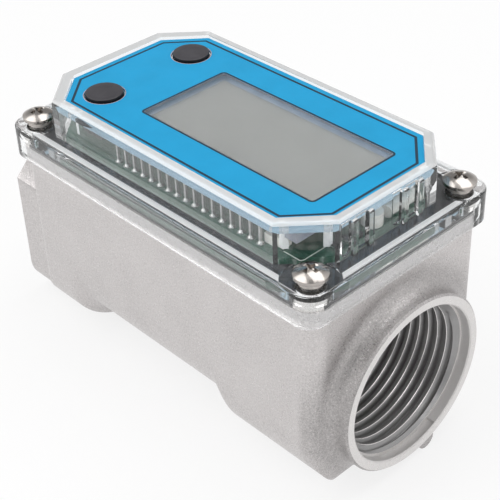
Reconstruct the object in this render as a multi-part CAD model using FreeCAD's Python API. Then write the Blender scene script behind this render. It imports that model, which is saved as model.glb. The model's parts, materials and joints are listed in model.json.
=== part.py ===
"""Battery powered turbine flow meter for 1 inch pipe.

A cast body carries the pipe ports and a turbine cartridge. A clear screwed cover
holds the display, its circuit board, two buttons and a tray with two small cells.
Millimetres. X runs along the pipe, Z is up, and the feet stand on Z = 0.
"""
import FreeCAD, Part
import math
import os

from FreeCAD import Vector

os.makedirs("parts", exist_ok=True)

X_AXIS = Vector(1, 0, 0)
Y_AXIS = Vector(0, 1, 0)
Z_AXIS = Vector(0, 0, 1)
QUARTER = 90                 # degrees

# ---------------------------------------------------------------- casting
body_length = 86.6           # between the two end walls
boss_side_margin = 4.1       # side wall outside the round boss
plan_corner_r = 3.8          # upright corners
belly_r = 16.6               # rounding of the long lower edges
end_edge_r = 6.5             # rounding under the end walls
foot_drop = 1.5              # the feet stand this far below the round boss
recess_depth = 4.9           # underside between the feet
outlet_foot_length = 25.0
inlet_foot_length = 10.3
foot_ramp = 4.8              # length of the curve from foot to recess
ramp_section_count = 5

# ---------------------------------------------------------------- pipe ports
thread_major_r = 16.62       # 1 inch parallel pipe thread
thread_length = 19.6
counterbore_step = 0.38      # counterbore outside the thread
counterbore_depth = 2.4
counterbore_edge = 0.25      # bevel at the mouth
outlet_boss_wall = 2.3
outlet_boss_length = 4.6
boss_flare_r = 3.1           # hollow curve from boss to end wall
inlet_boss_length = 11.7
wrench_wall = 2.68           # thread to the flats of the inlet boss
wrench_top_cut = 8.0
wrench_foot_r = 7.0
wrench_blend_r = 1.6
rim_edge = 0.4               # broken outer edge of both bosses
keyway_width = 15.0
keyway_depth = 0.6           # outside the counterbore
gate_stub_r = 2.2            # trimmed pouring gate under the outlet boss
gate_stub_y = 5.2

# ---------------------------------------------------------------- turbine cartridge
cartridge_r = 12.5           # bore that takes the flow straighteners
chamber_r = 11.8             # bore round the rotor
chamber_length = 19.0
straightener_length = 8.0
straightener_wall = 1.2
hub_r = 4.5
nose_length = 7.0
vane_count = 5
vane_thickness = 1.1
ring_groove_depth = 0.6
ring_groove_width = 1.3
retaining_ring_height = 1.6
retaining_ring_opening = 6.0
ring_eye_r = 1.2
ring_eye_hole_r = 0.55
ring_eye_rise = 0.4          # eye centre over the ring's inner edge
rotor_tip_gap = 0.5
rotor_blades = 6
blade_section_count = 4
rotor_hub_edge = 0.6
rotor_blade_length = 9.0
rotor_blade_thickness = 1.1
rotor_blade_turn = 46.0      # degrees of twist over one blade
rotor_hub_length = 12.0
rotor_end_gap = 0.5
shaft_r = 1.0
shaft_end_gap = 0.3
bearing_r = 2.0
bearing_length = 4.6
bearing_floor = 1.0
running_clearance = 0.05
slip_clearance = 0.04        # pieces pushed together by hand
magnet_r = 1.0
magnet_length = 8.0
magnet_offset = 2.75

# ---------------------------------------------------------------- electronics well
pocket_wall = 2.1            # metal left over the thread
pocket_end_wall = 7.3
pocket_side_wall = 4.9
pocket_corner_r = 5.0
coil_well_r = 8.0
coil_well_floor = 2.6        # metal between coil and rotor chamber

# ---------------------------------------------------------------- cover
gasket_thickness = 1.3
gasket_side_gap = 0.4
flange_corner_r = 3.8
flange_thickness = 3.05
flange_edge_r = 0.5
bead_inset = 0.65            # raised bead, in from the flange's edge
bead_width = 1.3
bead_rise = 0.4
bead_edge_r = 0.35
seat_r = 5.6                 # shallow round seats for the screws
seat_depth = 0.3
skirt_overlap = 2.95         # how far the skirt laps down over the casting
skirt_gap = 0.15
skirt_end_wall = 1.05
skirt_side_wall = 1.7
case_end_inset = 3.3         # raised display case, in from the casting's walls
case_side_inset = 1.7
case_cut_x = 8.0             # corner cuts of the raised display case
case_cut_y = 8.6
case_wall = 2.0
case_edge_r = 1.0
roof_thickness = 1.6
label_recess = 1.2
clip_width = 5.4             # over the two bars of a clip
clip_spacing = 13.5
clip_shift = -0.8
clip_bar_width = 1.2
clip_bar_proud = 0.7
clip_bar_drop = 1.0          # bars end below the top of the case
clip_bar_end_r = 0.55
clip_channel_depth = 0.5
clip_pocket_width = 2.4      # round-ended pocket beside a clip
clip_pocket_depth = 0.6

# ---------------------------------------------------------------- label and buttons
label_end_margin = 2.45      # rim of the case round the label
label_side_margin = 2.0
label_cut_x = 7.0
label_cut_y = 7.8
label_thickness = 0.5
label_shift = 0.4            # label centre, from the cover centre
window_inlet_margin = 21.4   # label left round the display window
window_outlet_margin = 6.6
window_side_margin = 8.7
window_corner_r = 0.6
button_end_margin = 10.05    # button centres, in from the label's inlet end
button_side_margin = 7.85    # and in from its sides
button_r = 4.0
button_gap = 0.3
button_rise = 0.15           # cap centre over the label face
button_dome = 0.35
button_lip = 1.2             # retaining flange outside the cap
button_flange_thickness = 1.0
button_flange_gap = 0.2
button_stem_r = 1.5
button_travel = 0.5

# ---------------------------------------------------------------- screws
screw_inset_x = 3.4          # screw centres, in from the casting's walls
screw_inset_y = 3.1
screw_r = 1.7
screw_hole_gap = 0.05
screw_length = 12.0
screw_hole_spare = 1.2
screw_head_r = 3.3
screw_head_height = 1.8
screw_head_crown = 1.1       # domed part of the head
screw_point = 0.5
cross_width = 0.85           # cross recess
cross_length = 3.7
cross_floor_length = 1.6
cross_depth = 1.1
washer_r = 2.35
washer_thickness = 1.3
ferrule_r = 2.8
ferrule_height = 2.3
clearance_hole_gap = 0.25

# ---------------------------------------------------------------- board and display
board_side_gap = 0.75        # board to the inside of the case
board_rise = 1.42            # underside of the board over the gasket
board_thickness = 1.6
glass_end_lap = 1.75         # display glass past the window
glass_side_lap = 5.9
glass_thickness = 2.2
film_thickness = 0.2         # polarising film on the glass
film_margin = 0.4            # in from the window
glass_part_gap = 0.33        # glass over the tallest board part
glass_roof_gap = 0.25
spacer_thickness = 3.0
spacer_width = 20.0
spacer_inset = 5.2           # pad centre, in from the glass's end
pin_count = 17
pin_inlet_margin = 2.58      # glass left before and after the row of pins
pin_outlet_margin = 7.38
pin_width = 0.5
pin_overhang = 0.9           # pins stand out from the glass edge
switch_width = 6.0
switch_height = 2.6
plunger_r = 1.6
plunger_rise = 0.9           # over the switch body
plunger_gap = 0.1
plunger_depth = 1.0
chip_size = 7.0
chip_thickness = 1.4
crystal_length = 8.0
crystal_r = 1.3
can_r = 2.0
can_height = 2.8
socket_length = 3.6          # two-pin socket in the outlet corner of the board
socket_width = 2.2
socket_height = 2.0
socket_x = 9.6               # from the board's end
socket_y = 3.35              # from the board's side
socket_pin_r = 0.3
socket_pin_spacing = 1.6
socket_pin_rise = 1.0
part_inset = 0.4             # parts stay this far in from the board's end
part_gap = 1.0
chip_part_count = 3
chip_part_pitch = 2.6
chip_part_length = 2.0
chip_part_width = 1.25
chip_part_height = 0.9

# ---------------------------------------------------------------- cells and coil
cell_r = 5.25
cell_length = 43.7
cell_nub_r = 1.9
cell_nub_length = 0.8
cell_gap = 1.3               # between the two cells
cell_side_gap = 0.3
tray_wall = 1.2
tray_floor = 0.5
tray_headroom = 1.0          # between the cells and the board
contact_thickness = 0.4
contact_width = 7.0
contact_bulge = 0.9
contact_foot = 0.7           # flat strip along each side of the bow
bobbin_side_gap = 1.4
bobbin_hub_r = 2.6
bobbin_headroom = 0.2        # under the battery tray
bobbin_flange = 0.6
winding_inset = 0.5          # winding below the spool's rim
core_r = 1.2
lead_r = 0.3
lead_offset = 4.0

# ---------------------------------------------------------------- worked out
counterbore_r = thread_major_r + counterbore_step
outlet_boss_r = counterbore_r + outlet_boss_wall
port_z = outlet_boss_r + foot_drop
body_width = 2 * (outlet_boss_r + boss_side_margin)
overall_length = inlet_boss_length + body_length + outlet_boss_length
outlet_face_x = overall_length / 2
inlet_face_x = -overall_length / 2
outlet_wall_x = outlet_face_x - outlet_boss_length
inlet_wall_x = inlet_face_x + inlet_boss_length
cover_x = (outlet_wall_x + inlet_wall_x) / 2

thread_end = counterbore_depth + thread_length
pocket_length = body_length - 2 * pocket_end_wall
pocket_width = body_width - 2 * pocket_side_wall
pocket_floor = port_z + thread_major_r + pocket_wall
coil_floor = port_z + chamber_r + coil_well_floor
bobbin_top = pocket_floor - bobbin_headroom
bobbin_r = coil_well_r - bobbin_side_gap
cells_bottom = pocket_floor + tray_floor
cell_z = cells_bottom + slip_clearance + cell_r
board_bottom = cells_bottom + 2 * cell_r + tray_headroom
board_top = board_bottom + board_thickness

gasket_top = board_bottom - board_rise
casting_height = gasket_top - gasket_thickness
flange_length = body_length + 2 * (skirt_gap + skirt_end_wall)
flange_width = body_width + 2 * (skirt_gap + skirt_side_wall)
flange_top = gasket_top + flange_thickness
case_length = body_length - 2 * case_end_inset
case_width = body_width - 2 * case_side_inset

label_length = case_length - 2 * label_end_margin
label_width = case_width - 2 * label_side_margin
label_x = cover_x + label_shift
label_inlet_x = label_x - label_length / 2
window_length = label_length - window_inlet_margin - window_outlet_margin
window_width = label_width - 2 * window_side_margin
window_x = label_inlet_x + window_inlet_margin + window_length / 2
button_x = label_inlet_x + button_end_margin
button_y = label_width / 2 - button_side_margin

board_length = case_length - 2 * (case_wall + board_side_gap)
board_width = case_width - 2 * (case_wall + board_side_gap)
board_end_x = cover_x + board_length / 2
glass_length = window_length + 2 * glass_end_lap
glass_width = window_width + 2 * glass_side_lap
glass_bottom = board_top + can_height + glass_part_gap
glass_top = glass_bottom + glass_thickness
pin_row = glass_length - pin_inlet_margin - pin_outlet_margin
pin_pitch = pin_row / (pin_count - 1)
pin_row_x = window_x - glass_length / 2 + pin_inlet_margin
roof_under = glass_top + film_thickness + glass_roof_gap
roof_top = roof_under + roof_thickness
case_top = roof_top + label_recess
label_top = roof_top + label_thickness
switch_top = board_top + switch_height
plunger_top = switch_top + plunger_rise
button_flange_top = roof_under - button_flange_gap
button_flange_r = button_r + button_lip

seat_top = flange_top - seat_depth
head_under = seat_top + washer_thickness
screw_x = body_length / 2 - screw_inset_x
screw_y = body_width / 2 - screw_inset_y
straightener_x = chamber_length / 2
straightener_end = straightener_x + straightener_length
rotor_r = chamber_r - rotor_tip_gap
hub_face_x = rotor_hub_length / 2 + rotor_end_gap
bearing_end = hub_face_x + bearing_length
shaft_length = 2 * (bearing_end - bearing_floor - shaft_end_gap)


# ---------------------------------------------------------------- helpers
def line(a, b):
    return Part.LineSegment(a, b).toShape()


def arc(a, middle, b):
    return Part.Arc(a, middle, b).toShape()


def nose_arc(tip, rim, centre):
    """Quarter of an ellipse from the tip of a nose to its rim."""
    return Part.ArcOfEllipse(Part.Ellipse(tip, rim, centre), 0, math.pi / 2).toShape()


def ball_cap(radius, rim_z, top_z):
    """Arc from a rim up to the upright axis, as on a shallow button."""
    rise = top_z - rim_z
    ball_r = (radius ** 2 + rise ** 2) / (2 * rise)
    half = radius / 2
    middle_z = top_z - ball_r + math.sqrt(ball_r ** 2 - half ** 2)
    return arc(Vector(radius, 0, rim_z), Vector(half, 0, middle_z), Vector(0, 0, top_z))


def corner_point(centre, radius, degrees, to_point):
    """A point on a corner's arc, turned into 3-D by to_point(u, v)."""
    angle = math.radians(degrees)
    u = centre[0] + radius * math.cos(angle)
    v = centre[1] + radius * math.sin(angle)
    return to_point(u, v)


def rounded_outline(half_u, half_v, radius, to_point):
    """Closed wire of a rectangle with four equal round corners."""
    in_u = half_u - radius
    in_v = half_v - radius
    corners = [(in_u, in_v), (-in_u, in_v), (-in_u, -in_v), (in_u, -in_v)]
    edges = []
    last = None
    for i, centre in enumerate(corners):
        a = corner_point(centre, radius, QUARTER * i, to_point)
        middle = corner_point(centre, radius, QUARTER * (i + 1 / 2), to_point)
        b = corner_point(centre, radius, QUARTER * (i + 1), to_point)
        if last is not None:
            edges.append(line(last, a))
        edges.append(arc(a, middle, b))
        last = b
    first = corner_point(corners[0], radius, 0, to_point)
    edges.append(line(last, first))
    return Part.Wire(edges)


def rounded_block(centre_x, length, width, radius, bottom, top):
    """Upright block with round corners in plan."""
    wire = rounded_outline(length / 2, width / 2, radius, lambda u, v: Vector(centre_x + u, v, bottom))
    return Part.Face(wire).extrude(Vector(0, 0, top - bottom))


def octagon_block(centre_x, length, width, cut_x, cut_y, bottom, top):
    """Upright block whose four corners are cut off straight."""
    a = length / 2
    b = width / 2
    outline = [(a - cut_x, -b), (a, -b + cut_y), (a, b - cut_y), (a - cut_x, b)]
    outline += [(-a + cut_x, b), (-a, b - cut_y), (-a, -b + cut_y), (-a + cut_x, -b)]
    points = [Vector(centre_x + x, y, bottom) for x, y in outline]
    wire = Part.makePolygon(points + points[:1])
    return Part.Face(wire).extrude(Vector(0, 0, top - bottom))


def box(x0, x1, y0, y1, z0, z1):
    return Part.makeBox(x1 - x0, y1 - y0, z1 - z0, Vector(x0, y0, z0))


def upright(radius, x, y, bottom, top):
    return Part.makeCylinder(radius, top - bottom, Vector(x, y, bottom), Z_AXIS)


def along_pipe(radius, x0, x1, y=0.0, z=port_z):
    return Part.makeCylinder(radius, x1 - x0, Vector(x0, y, z), X_AXIS)


def turned(profile, centre=Vector(0, 0, port_z), axis=X_AXIS):
    """Solid of revolution about the pipe's line. profile lists (x, radius) pairs."""
    points = [Vector(x, 0, centre.z + radius) for x, radius in profile]
    wire = Part.makePolygon(points + points[:1])
    return Part.Face(wire).revolve(centre, axis, 360)


def to_inlet(shape):
    """The outlet side's piece, turned round the upright line to the inlet side."""
    copy = shape.copy()
    copy.rotate(Vector(0, 0, 0), Z_AXIS, 180)
    return copy


def edges_at_height(shape, height):
    """Edges that lie flat at one height."""
    tolerance = 1e-4
    return [e for e in shape.Edges
            if abs(e.BoundBox.ZMin - height) < tolerance and abs(e.BoundBox.ZMax - height) < tolerance]


def screw_places():
    return [(cover_x + sx * screw_x, sy * screw_y) for sx in (-1, 1) for sy in (-1, 1)]


def save(name, shape):
    shape.exportStep("parts/" + name + ".step")


# ---------------------------------------------------------------- casting
def body_outline(x, lift):
    """Cross-section of the casting at x, with its underside lifted."""
    half = body_width / 2
    side = half - belly_r
    low = lift + belly_r
    dip = belly_r * math.sqrt(0.5)
    top_left = Vector(x, -half, casting_height)
    top_right = Vector(x, half, casting_height)
    left = Vector(x, -half, low)
    right = Vector(x, half, low)
    left_foot = Vector(x, -side, lift)
    right_foot = Vector(x, side, lift)
    left_mid = Vector(x, -side - dip, low - dip)
    right_mid = Vector(x, side + dip, low - dip)
    edges = [line(top_left, left), arc(left, left_mid, left_foot), line(left_foot, right_foot)]
    edges += [arc(right_foot, right_mid, right), line(right, top_right), line(top_right, top_left)]
    return Part.Wire(edges)


def belly_run(x0, x1, lift):
    return Part.Face(body_outline(x0, lift)).extrude(Vector(x1 - x0, 0, 0))


def belly_ramp(x_foot, x_recess):
    """Smooth step from a foot up to the recess."""
    wires = []
    for i in range(ramp_section_count):
        share = i / (ramp_section_count - 1)
        lift = recess_depth * (1 - math.cos(math.pi * share)) / 2
        wires.append(body_outline(x_foot + (x_recess - x_foot) * share, lift))
    return Part.makeLoft(wires, True, False)


def casting_block():
    """Rounded block on two feet, without bosses or bores."""
    inlet_foot = inlet_wall_x + inlet_foot_length
    outlet_foot = outlet_wall_x - outlet_foot_length
    block = belly_run(inlet_wall_x, inlet_foot, 0)
    block = block.fuse(belly_ramp(inlet_foot, inlet_foot + foot_ramp))
    block = block.fuse(belly_run(inlet_foot + foot_ramp, outlet_foot - foot_ramp, recess_depth))
    block = block.fuse(belly_ramp(outlet_foot, outlet_foot - foot_ramp))
    block = block.fuse(belly_run(outlet_foot, outlet_wall_x, 0))
    plan = rounded_block(cover_x, body_length, body_width, plan_corner_r, 0, casting_height)
    tall = casting_height + end_edge_r
    side = rounded_outline(body_length / 2, tall / 2, end_edge_r,
                           lambda u, v: Vector(cover_x + u, -body_width / 2, v + tall / 2))
    side_block = Part.Face(side).extrude(Vector(0, body_width, 0))
    return block.common(plan).common(side_block).removeSplitter()


def on_outlet_boss(edge):
    """True for an edge where the round boss meets the end wall."""
    tolerance = 1e-3
    for p in edge.discretize(7):
        off_round = abs(math.hypot(p.y, p.z - port_z) - outlet_boss_r) > tolerance
        if off_round or p.x > outlet_wall_x + tolerance:
            return False
    return True


def with_outlet_boss(block):
    """Adds the round boss, which runs out of the end wall in a hollow curve."""
    boss = along_pipe(outlet_boss_r, outlet_wall_x - end_edge_r, outlet_face_x)
    rim = [e for e in boss.Edges if e.BoundBox.XMin > outlet_face_x - rim_edge]
    boss = boss.makeChamfer(rim_edge, rim)
    joined = block.fuse(boss).removeSplitter()
    return joined.makeFillet(boss_flare_r, [e for e in joined.Edges if on_outlet_boss(e)])


def gate_stub():
    """Trimmed stub of the pouring gate, low on the outlet boss."""
    drop = port_z - math.sqrt(outlet_boss_r ** 2 - gate_stub_y ** 2)
    stub = along_pipe(gate_stub_r, outlet_wall_x, outlet_face_x - rim_edge, gate_stub_y, drop)
    room = box(outlet_wall_x, outlet_face_x, 0, body_width / 2, 0, port_z)
    return stub.common(room)


def wrench_outline(x):
    """Section of the inlet boss: flat sides, cut upper corners, round lower ones."""
    half = thread_major_r + wrench_wall
    top = port_z + outlet_boss_r
    bottom = foot_drop
    r = wrench_foot_r
    dip = r * (1 - math.sqrt(0.5))
    cut = wrench_top_cut
    left = [Vector(x, -half, bottom + r), Vector(x, -half, top - cut), Vector(x, -half + cut, top)]
    right = [Vector(x, half - cut, top), Vector(x, half, top - cut), Vector(x, half, bottom + r)]
    corner = left + right
    edges = [line(corner[i], corner[i + 1]) for i in range(len(corner) - 1)]
    foot_right = Vector(x, half - r, bottom)
    foot_left = Vector(x, -half + r, bottom)
    edges.append(arc(right[-1], Vector(x, half - dip, bottom + dip), foot_right))
    edges.append(line(foot_right, foot_left))
    edges.append(arc(foot_left, Vector(x, -half + dip, bottom + dip), left[0]))
    return Part.Wire(edges)


def inlet_boss():
    """Longer boss with flats for a wrench."""
    root = inlet_wall_x + end_edge_r
    boss = Part.Face(wrench_outline(inlet_face_x)).extrude(Vector(root - inlet_face_x, 0, 0))
    rim = [e for e in boss.Edges if e.BoundBox.XMax < inlet_face_x + rim_edge / 2]
    return boss.makeChamfer(rim_edge, rim)


def port_bore():
    """Outlet side's half of the waterway, from the port face to the rotor chamber."""
    face = outlet_face_x
    profile = [
        (0, 0),
        (0, chamber_r),
        (straightener_x, chamber_r),
        (straightener_x, cartridge_r),
        (face - thread_end - (thread_major_r - cartridge_r), cartridge_r),
        (face - thread_end, thread_major_r),
        (face - counterbore_depth, thread_major_r),
        (face - counterbore_depth, counterbore_r),
        (face - counterbore_edge, counterbore_r),
        (face + counterbore_edge, counterbore_r + 2 * counterbore_edge),
        (face + counterbore_edge, 0),
    ]
    return turned(profile)


def ring_groove():
    start = straightener_end
    end = start + ring_groove_width
    radius = cartridge_r + ring_groove_depth
    return turned([(start, 0), (start, radius), (end, radius), (end, 0)])


def keyway():
    """Shallow sector cut deeper than the outlet counterbore, at its foot."""
    start = outlet_face_x - counterbore_depth
    slot = along_pipe(counterbore_r + keyway_depth, start, outlet_face_x - rim_edge)
    half = keyway_width / 2
    return slot.common(box(inlet_face_x, outlet_face_x, -half, half, 0, port_z))


def electronics_well():
    """Pocket for the cells with a round well for the pickup coil."""
    pocket = rounded_block(cover_x, pocket_length, pocket_width, pocket_corner_r,
                           pocket_floor, casting_height + 1)
    return pocket.fuse(upright(coil_well_r, 0, 0, coil_floor, pocket_floor + 1))


def body_casting():
    body = with_outlet_boss(casting_block())
    body = body.fuse(gate_stub())
    body = body.fuse(inlet_boss())
    body = body.removeSplitter()
    bore = port_bore()
    body = body.cut(bore).cut(to_inlet(bore))
    groove = ring_groove()
    body = body.cut(groove).cut(to_inlet(groove))
    body = body.cut(keyway())
    body = body.cut(electronics_well())
    hole_floor = head_under - screw_length - screw_hole_spare
    for x, y in screw_places():
        body = body.cut(upright(screw_r + screw_hole_gap, x, y, hole_floor, casting_height + 1))
    return body


# ---------------------------------------------------------------- turbine cartridge
def flow_straightener():
    """Ring, nose-cone hub and vanes. The hub holds a rotor bearing."""
    x0 = straightener_x
    x1 = straightener_end
    outer = cartridge_r - slip_clearance
    ring = along_pipe(outer, x0, x1).cut(along_pipe(outer - straightener_wall, x0 - 1, x1 + 1))
    tip = Vector(x1 + nose_length, 0, port_z)
    edges = [
        line(Vector(hub_face_x, 0, port_z), Vector(hub_face_x, 0, port_z + hub_r)),
        line(Vector(hub_face_x, 0, port_z + hub_r), Vector(x1, 0, port_z + hub_r)),
        nose_arc(tip, Vector(x1, 0, port_z + hub_r), Vector(x1, 0, port_z)),
        line(tip, Vector(hub_face_x, 0, port_z)),
    ]
    hub = Part.Face(Part.Wire(edges)).revolve(Vector(0, 0, port_z), X_AXIS, 360)
    piece = ring.fuse(hub)
    half = vane_thickness / 2
    for i in range(vane_count):
        vane = box(x0, x1, -half, half, port_z + hub_r / 2, port_z + outer - straightener_wall / 2)
        vane.rotate(Vector(0, 0, port_z), X_AXIS, 360 * i / vane_count)
        piece = piece.fuse(vane)
    piece = piece.removeSplitter()
    return piece.cut(along_pipe(bearing_r + slip_clearance, hub_face_x - 1, bearing_end))


def bearing():
    """Blind bush: the shaft's end runs against its floor."""
    sleeve = along_pipe(bearing_r, hub_face_x, bearing_end)
    return sleeve.cut(along_pipe(shaft_r + running_clearance, hub_face_x - 1, bearing_end - bearing_floor))


def retaining_ring():
    """Open spring ring with two eyes for the pliers."""
    x0 = straightener_end + slip_clearance
    x1 = straightener_end + ring_groove_width - slip_clearance
    outer = cartridge_r + ring_groove_depth - slip_clearance
    inner = outer - retaining_ring_height
    ring = along_pipe(outer, x0, x1).cut(along_pipe(inner, x0 - 1, x1 + 1))
    half = retaining_ring_opening / 2
    ring = ring.cut(box(x0 - 1, x1 + 1, -half, half, port_z - outer - 1, port_z))
    for side in (-1, 1):
        y = side * (half + ring_eye_r)
        z = port_z - inner + ring_eye_rise
        ring = ring.fuse(along_pipe(ring_eye_r, x0, x1, y, z))
        ring = ring.cut(along_pipe(ring_eye_hole_r, x0 - 1, x1 + 1, y, z))
    return ring


def rotor_blade():
    """One helical blade, lofted through sections that turn about the shaft."""
    root = hub_r - rotor_blade_thickness / 2
    half = rotor_blade_thickness / 2
    wires = []
    for i in range(blade_section_count):
        share = i / (blade_section_count - 1)
        x = rotor_blade_length * (share - 0.5)
        corners = [(-half, root), (half, root), (half, rotor_r), (-half, rotor_r)]
        points = [Vector(x, y, port_z + r) for y, r in corners]
        wire = Part.makePolygon(points + points[:1])
        wire.rotate(Vector(0, 0, port_z), X_AXIS, rotor_blade_turn * share)
        wires.append(wire)
    return Part.makeLoft(wires, True, False)


def turbine_rotor():
    half = rotor_hub_length / 2
    neck = hub_r - rotor_hub_edge
    rim = half - rotor_hub_edge
    rotor = turned([(-half, 0), (-half, neck), (-rim, hub_r), (rim, hub_r), (half, neck), (half, 0)])
    blade = rotor_blade()
    for i in range(rotor_blades):
        turn = blade.copy()
        turn.rotate(Vector(0, 0, port_z), X_AXIS, 360 * i / rotor_blades)
        rotor = rotor.fuse(turn)
    rotor = rotor.cut(along_pipe(shaft_r + slip_clearance / 2, -half - 1, half + 1))
    for side in (-1, 1):
        rotor = rotor.cut(along_pipe(magnet_r + slip_clearance, half - magnet_length, half + 1,
                                     side * magnet_offset))
    return rotor


def rotor_magnets():
    end = rotor_hub_length / 2
    start = end - magnet_length + slip_clearance
    return Part.Compound([along_pipe(magnet_r, start, end, side * magnet_offset) for side in (-1, 1)])


def rotor_shaft():
    return along_pipe(shaft_r, -shaft_length / 2, shaft_length / 2)


# ---------------------------------------------------------------- cover
def gasket():
    length = body_length - 2 * gasket_side_gap
    width = body_width - 2 * gasket_side_gap
    corner = plan_corner_r - gasket_side_gap
    ring = rounded_block(cover_x, length, width, corner, casting_height, gasket_top)
    ring = ring.cut(rounded_block(cover_x, pocket_length, pocket_width, pocket_corner_r,
                                  casting_height - 1, gasket_top + 1))
    for x, y in screw_places():
        ring = ring.cut(upright(ferrule_r + slip_clearance, x, y, casting_height - 1, gasket_top + 1))
    return ring


def case_block(inset, bottom, top):
    """The display case's outline, moved in by a wall."""
    slope = math.hypot(case_cut_x, case_cut_y)
    cut_x = case_cut_x + inset * ((slope - case_cut_x) / case_cut_y - 1)
    cut_y = case_cut_y + inset * ((slope - case_cut_y) / case_cut_x - 1)
    return octagon_block(cover_x, case_length - 2 * inset, case_width - 2 * inset, cut_x, cut_y, bottom, top)


def label_block(gap, bottom, top):
    return octagon_block(label_x, label_length + 2 * gap, label_width + 2 * gap,
                         label_cut_x, label_cut_y, bottom, top)


def button_places():
    return {"calibrate": (button_x, button_y), "display": (button_x, -button_y)}


def clip_centres():
    return [clip_shift + side * clip_spacing / 2 for side in (-1, 1)]


def clip_bars():
    """Two upright bars to a clip, on the outlet side of the display case."""
    face = cover_x + case_length / 2
    top = case_top - clip_bar_drop
    bars = []
    for y in clip_centres():
        for side in (-1, 1):
            centre = y + side * (clip_width - clip_bar_width) / 2
            bar = box(face - case_wall / 2, face + clip_bar_proud, centre - clip_bar_width / 2,
                      centre + clip_bar_width / 2, flange_top - flange_edge_r, top)
            end = [e for e in edges_at_height(bar, top) if e.BoundBox.XMin > face]
            bars.append(bar.makeFillet(clip_bar_end_r, end))
    return bars


def clip_hollows():
    """The channel between a clip's bars, and the round-ended pocket beside them."""
    face = cover_x + case_length / 2
    reach = face + clip_bar_proud + 1
    half = clip_pocket_width / 2
    hollows = []
    for y in clip_centres():
        side = clip_width / 2 - clip_bar_width
        hollows.append(box(face - clip_channel_depth, reach, y - side, y + side,
                           flange_top + bead_rise, case_top - clip_bar_drop))
        middle = y - clip_width / 2 - half
        floor = flange_top + bead_rise + half
        back = face - clip_pocket_depth
        hollows.append(box(back, reach, middle - half, middle + half, floor, case_top - clip_bar_drop))
        hollows.append(along_pipe(half, back, reach, middle, floor))
    return hollows


def inner_flange(inset, bottom, top):
    """Block with the flange's outline, moved in."""
    return rounded_block(cover_x, flange_length - 2 * inset, flange_width - 2 * inset,
                         flange_corner_r - inset, bottom, top)


def cover_flange():
    """Flange and skirt, with a raised bead that stops at the round screw seats."""
    bottom = casting_height - skirt_overlap
    flange = rounded_block(cover_x, flange_length, flange_width, flange_corner_r, bottom, flange_top)
    flange = flange.makeFillet(flange_edge_r, edges_at_height(flange, flange_top))
    flange = flange.makeFillet(flange_edge_r, edges_at_height(flange, bottom))
    top = flange_top + bead_rise
    outer = inner_flange(bead_inset, flange_top - flange_edge_r, top)
    bead = outer.cut(inner_flange(bead_inset + bead_width, flange_top - 1, top + 1))
    bead = bead.makeFillet(bead_edge_r, edges_at_height(bead, top))
    flange = flange.fuse(bead).removeSplitter()
    room = inner_flange(bead_inset, seat_top, top + 1)
    for x, y in screw_places():
        flange = flange.cut(upright(seat_r, x, y, seat_top, top + 1).common(room))
    return flange


def clear_cover():
    """Flange with a skirt over the casting, and the raised case for the display."""
    bottom = casting_height - skirt_overlap
    case = case_block(0, gasket_top, case_top)
    case = case.makeFillet(case_edge_r, edges_at_height(case, case_top))
    for hollow in clip_hollows():
        case = case.cut(hollow)
    cover = cover_flange().fuse(case)
    for bar in clip_bars():
        cover = cover.fuse(bar)
    cover = cover.removeSplitter()
    cover = cover.cut(rounded_block(cover_x, body_length + 2 * skirt_gap, body_width + 2 * skirt_gap,
                                    plan_corner_r + skirt_gap, bottom - 1, gasket_top))
    cover = cover.cut(case_block(case_wall, gasket_top - 1, roof_under))
    cover = cover.cut(label_block(slip_clearance, roof_top, case_top + 1))
    for x, y in button_places().values():
        cover = cover.cut(upright(button_r + button_gap, x, y, roof_under - 1, case_top))
    ferrule_top = casting_height + ferrule_height
    for x, y in screw_places():
        cover = cover.cut(upright(ferrule_r + slip_clearance, x, y, gasket_top - 1, ferrule_top))
        cover = cover.cut(upright(screw_r + clearance_hole_gap, x, y, gasket_top - 1, flange_top + 1))
    return cover


def screw_ferrules():
    top = casting_height + ferrule_height
    pieces = []
    for x, y in screw_places():
        tube = upright(ferrule_r, x, y, casting_height, top)
        pieces.append(tube.cut(upright(screw_r + clearance_hole_gap, x, y, casting_height - 1, top + 1)))
    return Part.Compound(pieces)


def screw_washers():
    pieces = []
    for x, y in screw_places():
        disc = upright(washer_r, x, y, seat_top, head_under)
        hole = upright(screw_r + clearance_hole_gap, x, y, seat_top - 1, head_under + 1)
        pieces.append(disc.cut(hole))
    return Part.Compound(pieces)


def cross_recess(top):
    """Cross slot whose four ends run in towards its floor."""
    half = cross_length / 2
    side = cross_width / 2
    floor = top - cross_depth
    lips = box(-half, half, -side, side, floor, top).fuse(box(-side, side, -half, half, floor, top))
    cone = Part.makeCone(cross_floor_length / 2, half, cross_depth, Vector(0, 0, floor), Z_AXIS)
    return lips.common(cone)


def pan_screw(x, y):
    """Pan head on a plain shank, turned about the upright line."""
    under = head_under
    tip = under - screw_length
    top = under + screw_head_height
    shoulder = top - screw_head_crown
    edges = [
        line(Vector(0, 0, tip), Vector(screw_r - screw_point, 0, tip)),
        line(Vector(screw_r - screw_point, 0, tip), Vector(screw_r, 0, tip + screw_point)),
        line(Vector(screw_r, 0, tip + screw_point), Vector(screw_r, 0, under)),
        line(Vector(screw_r, 0, under), Vector(screw_head_r, 0, under)),
        line(Vector(screw_head_r, 0, under), Vector(screw_head_r, 0, shoulder)),
        ball_cap(screw_head_r, shoulder, top),
        line(Vector(0, 0, top), Vector(0, 0, tip)),
    ]
    screw = Part.Face(Part.Wire(edges)).revolve(Vector(0, 0, 0), Z_AXIS, 360)
    screw = screw.cut(cross_recess(top))
    screw.translate(Vector(x, y, 0))
    return screw


def cover_screws():
    return Part.Compound([pan_screw(x, y) for x, y in screw_places()])


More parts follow.
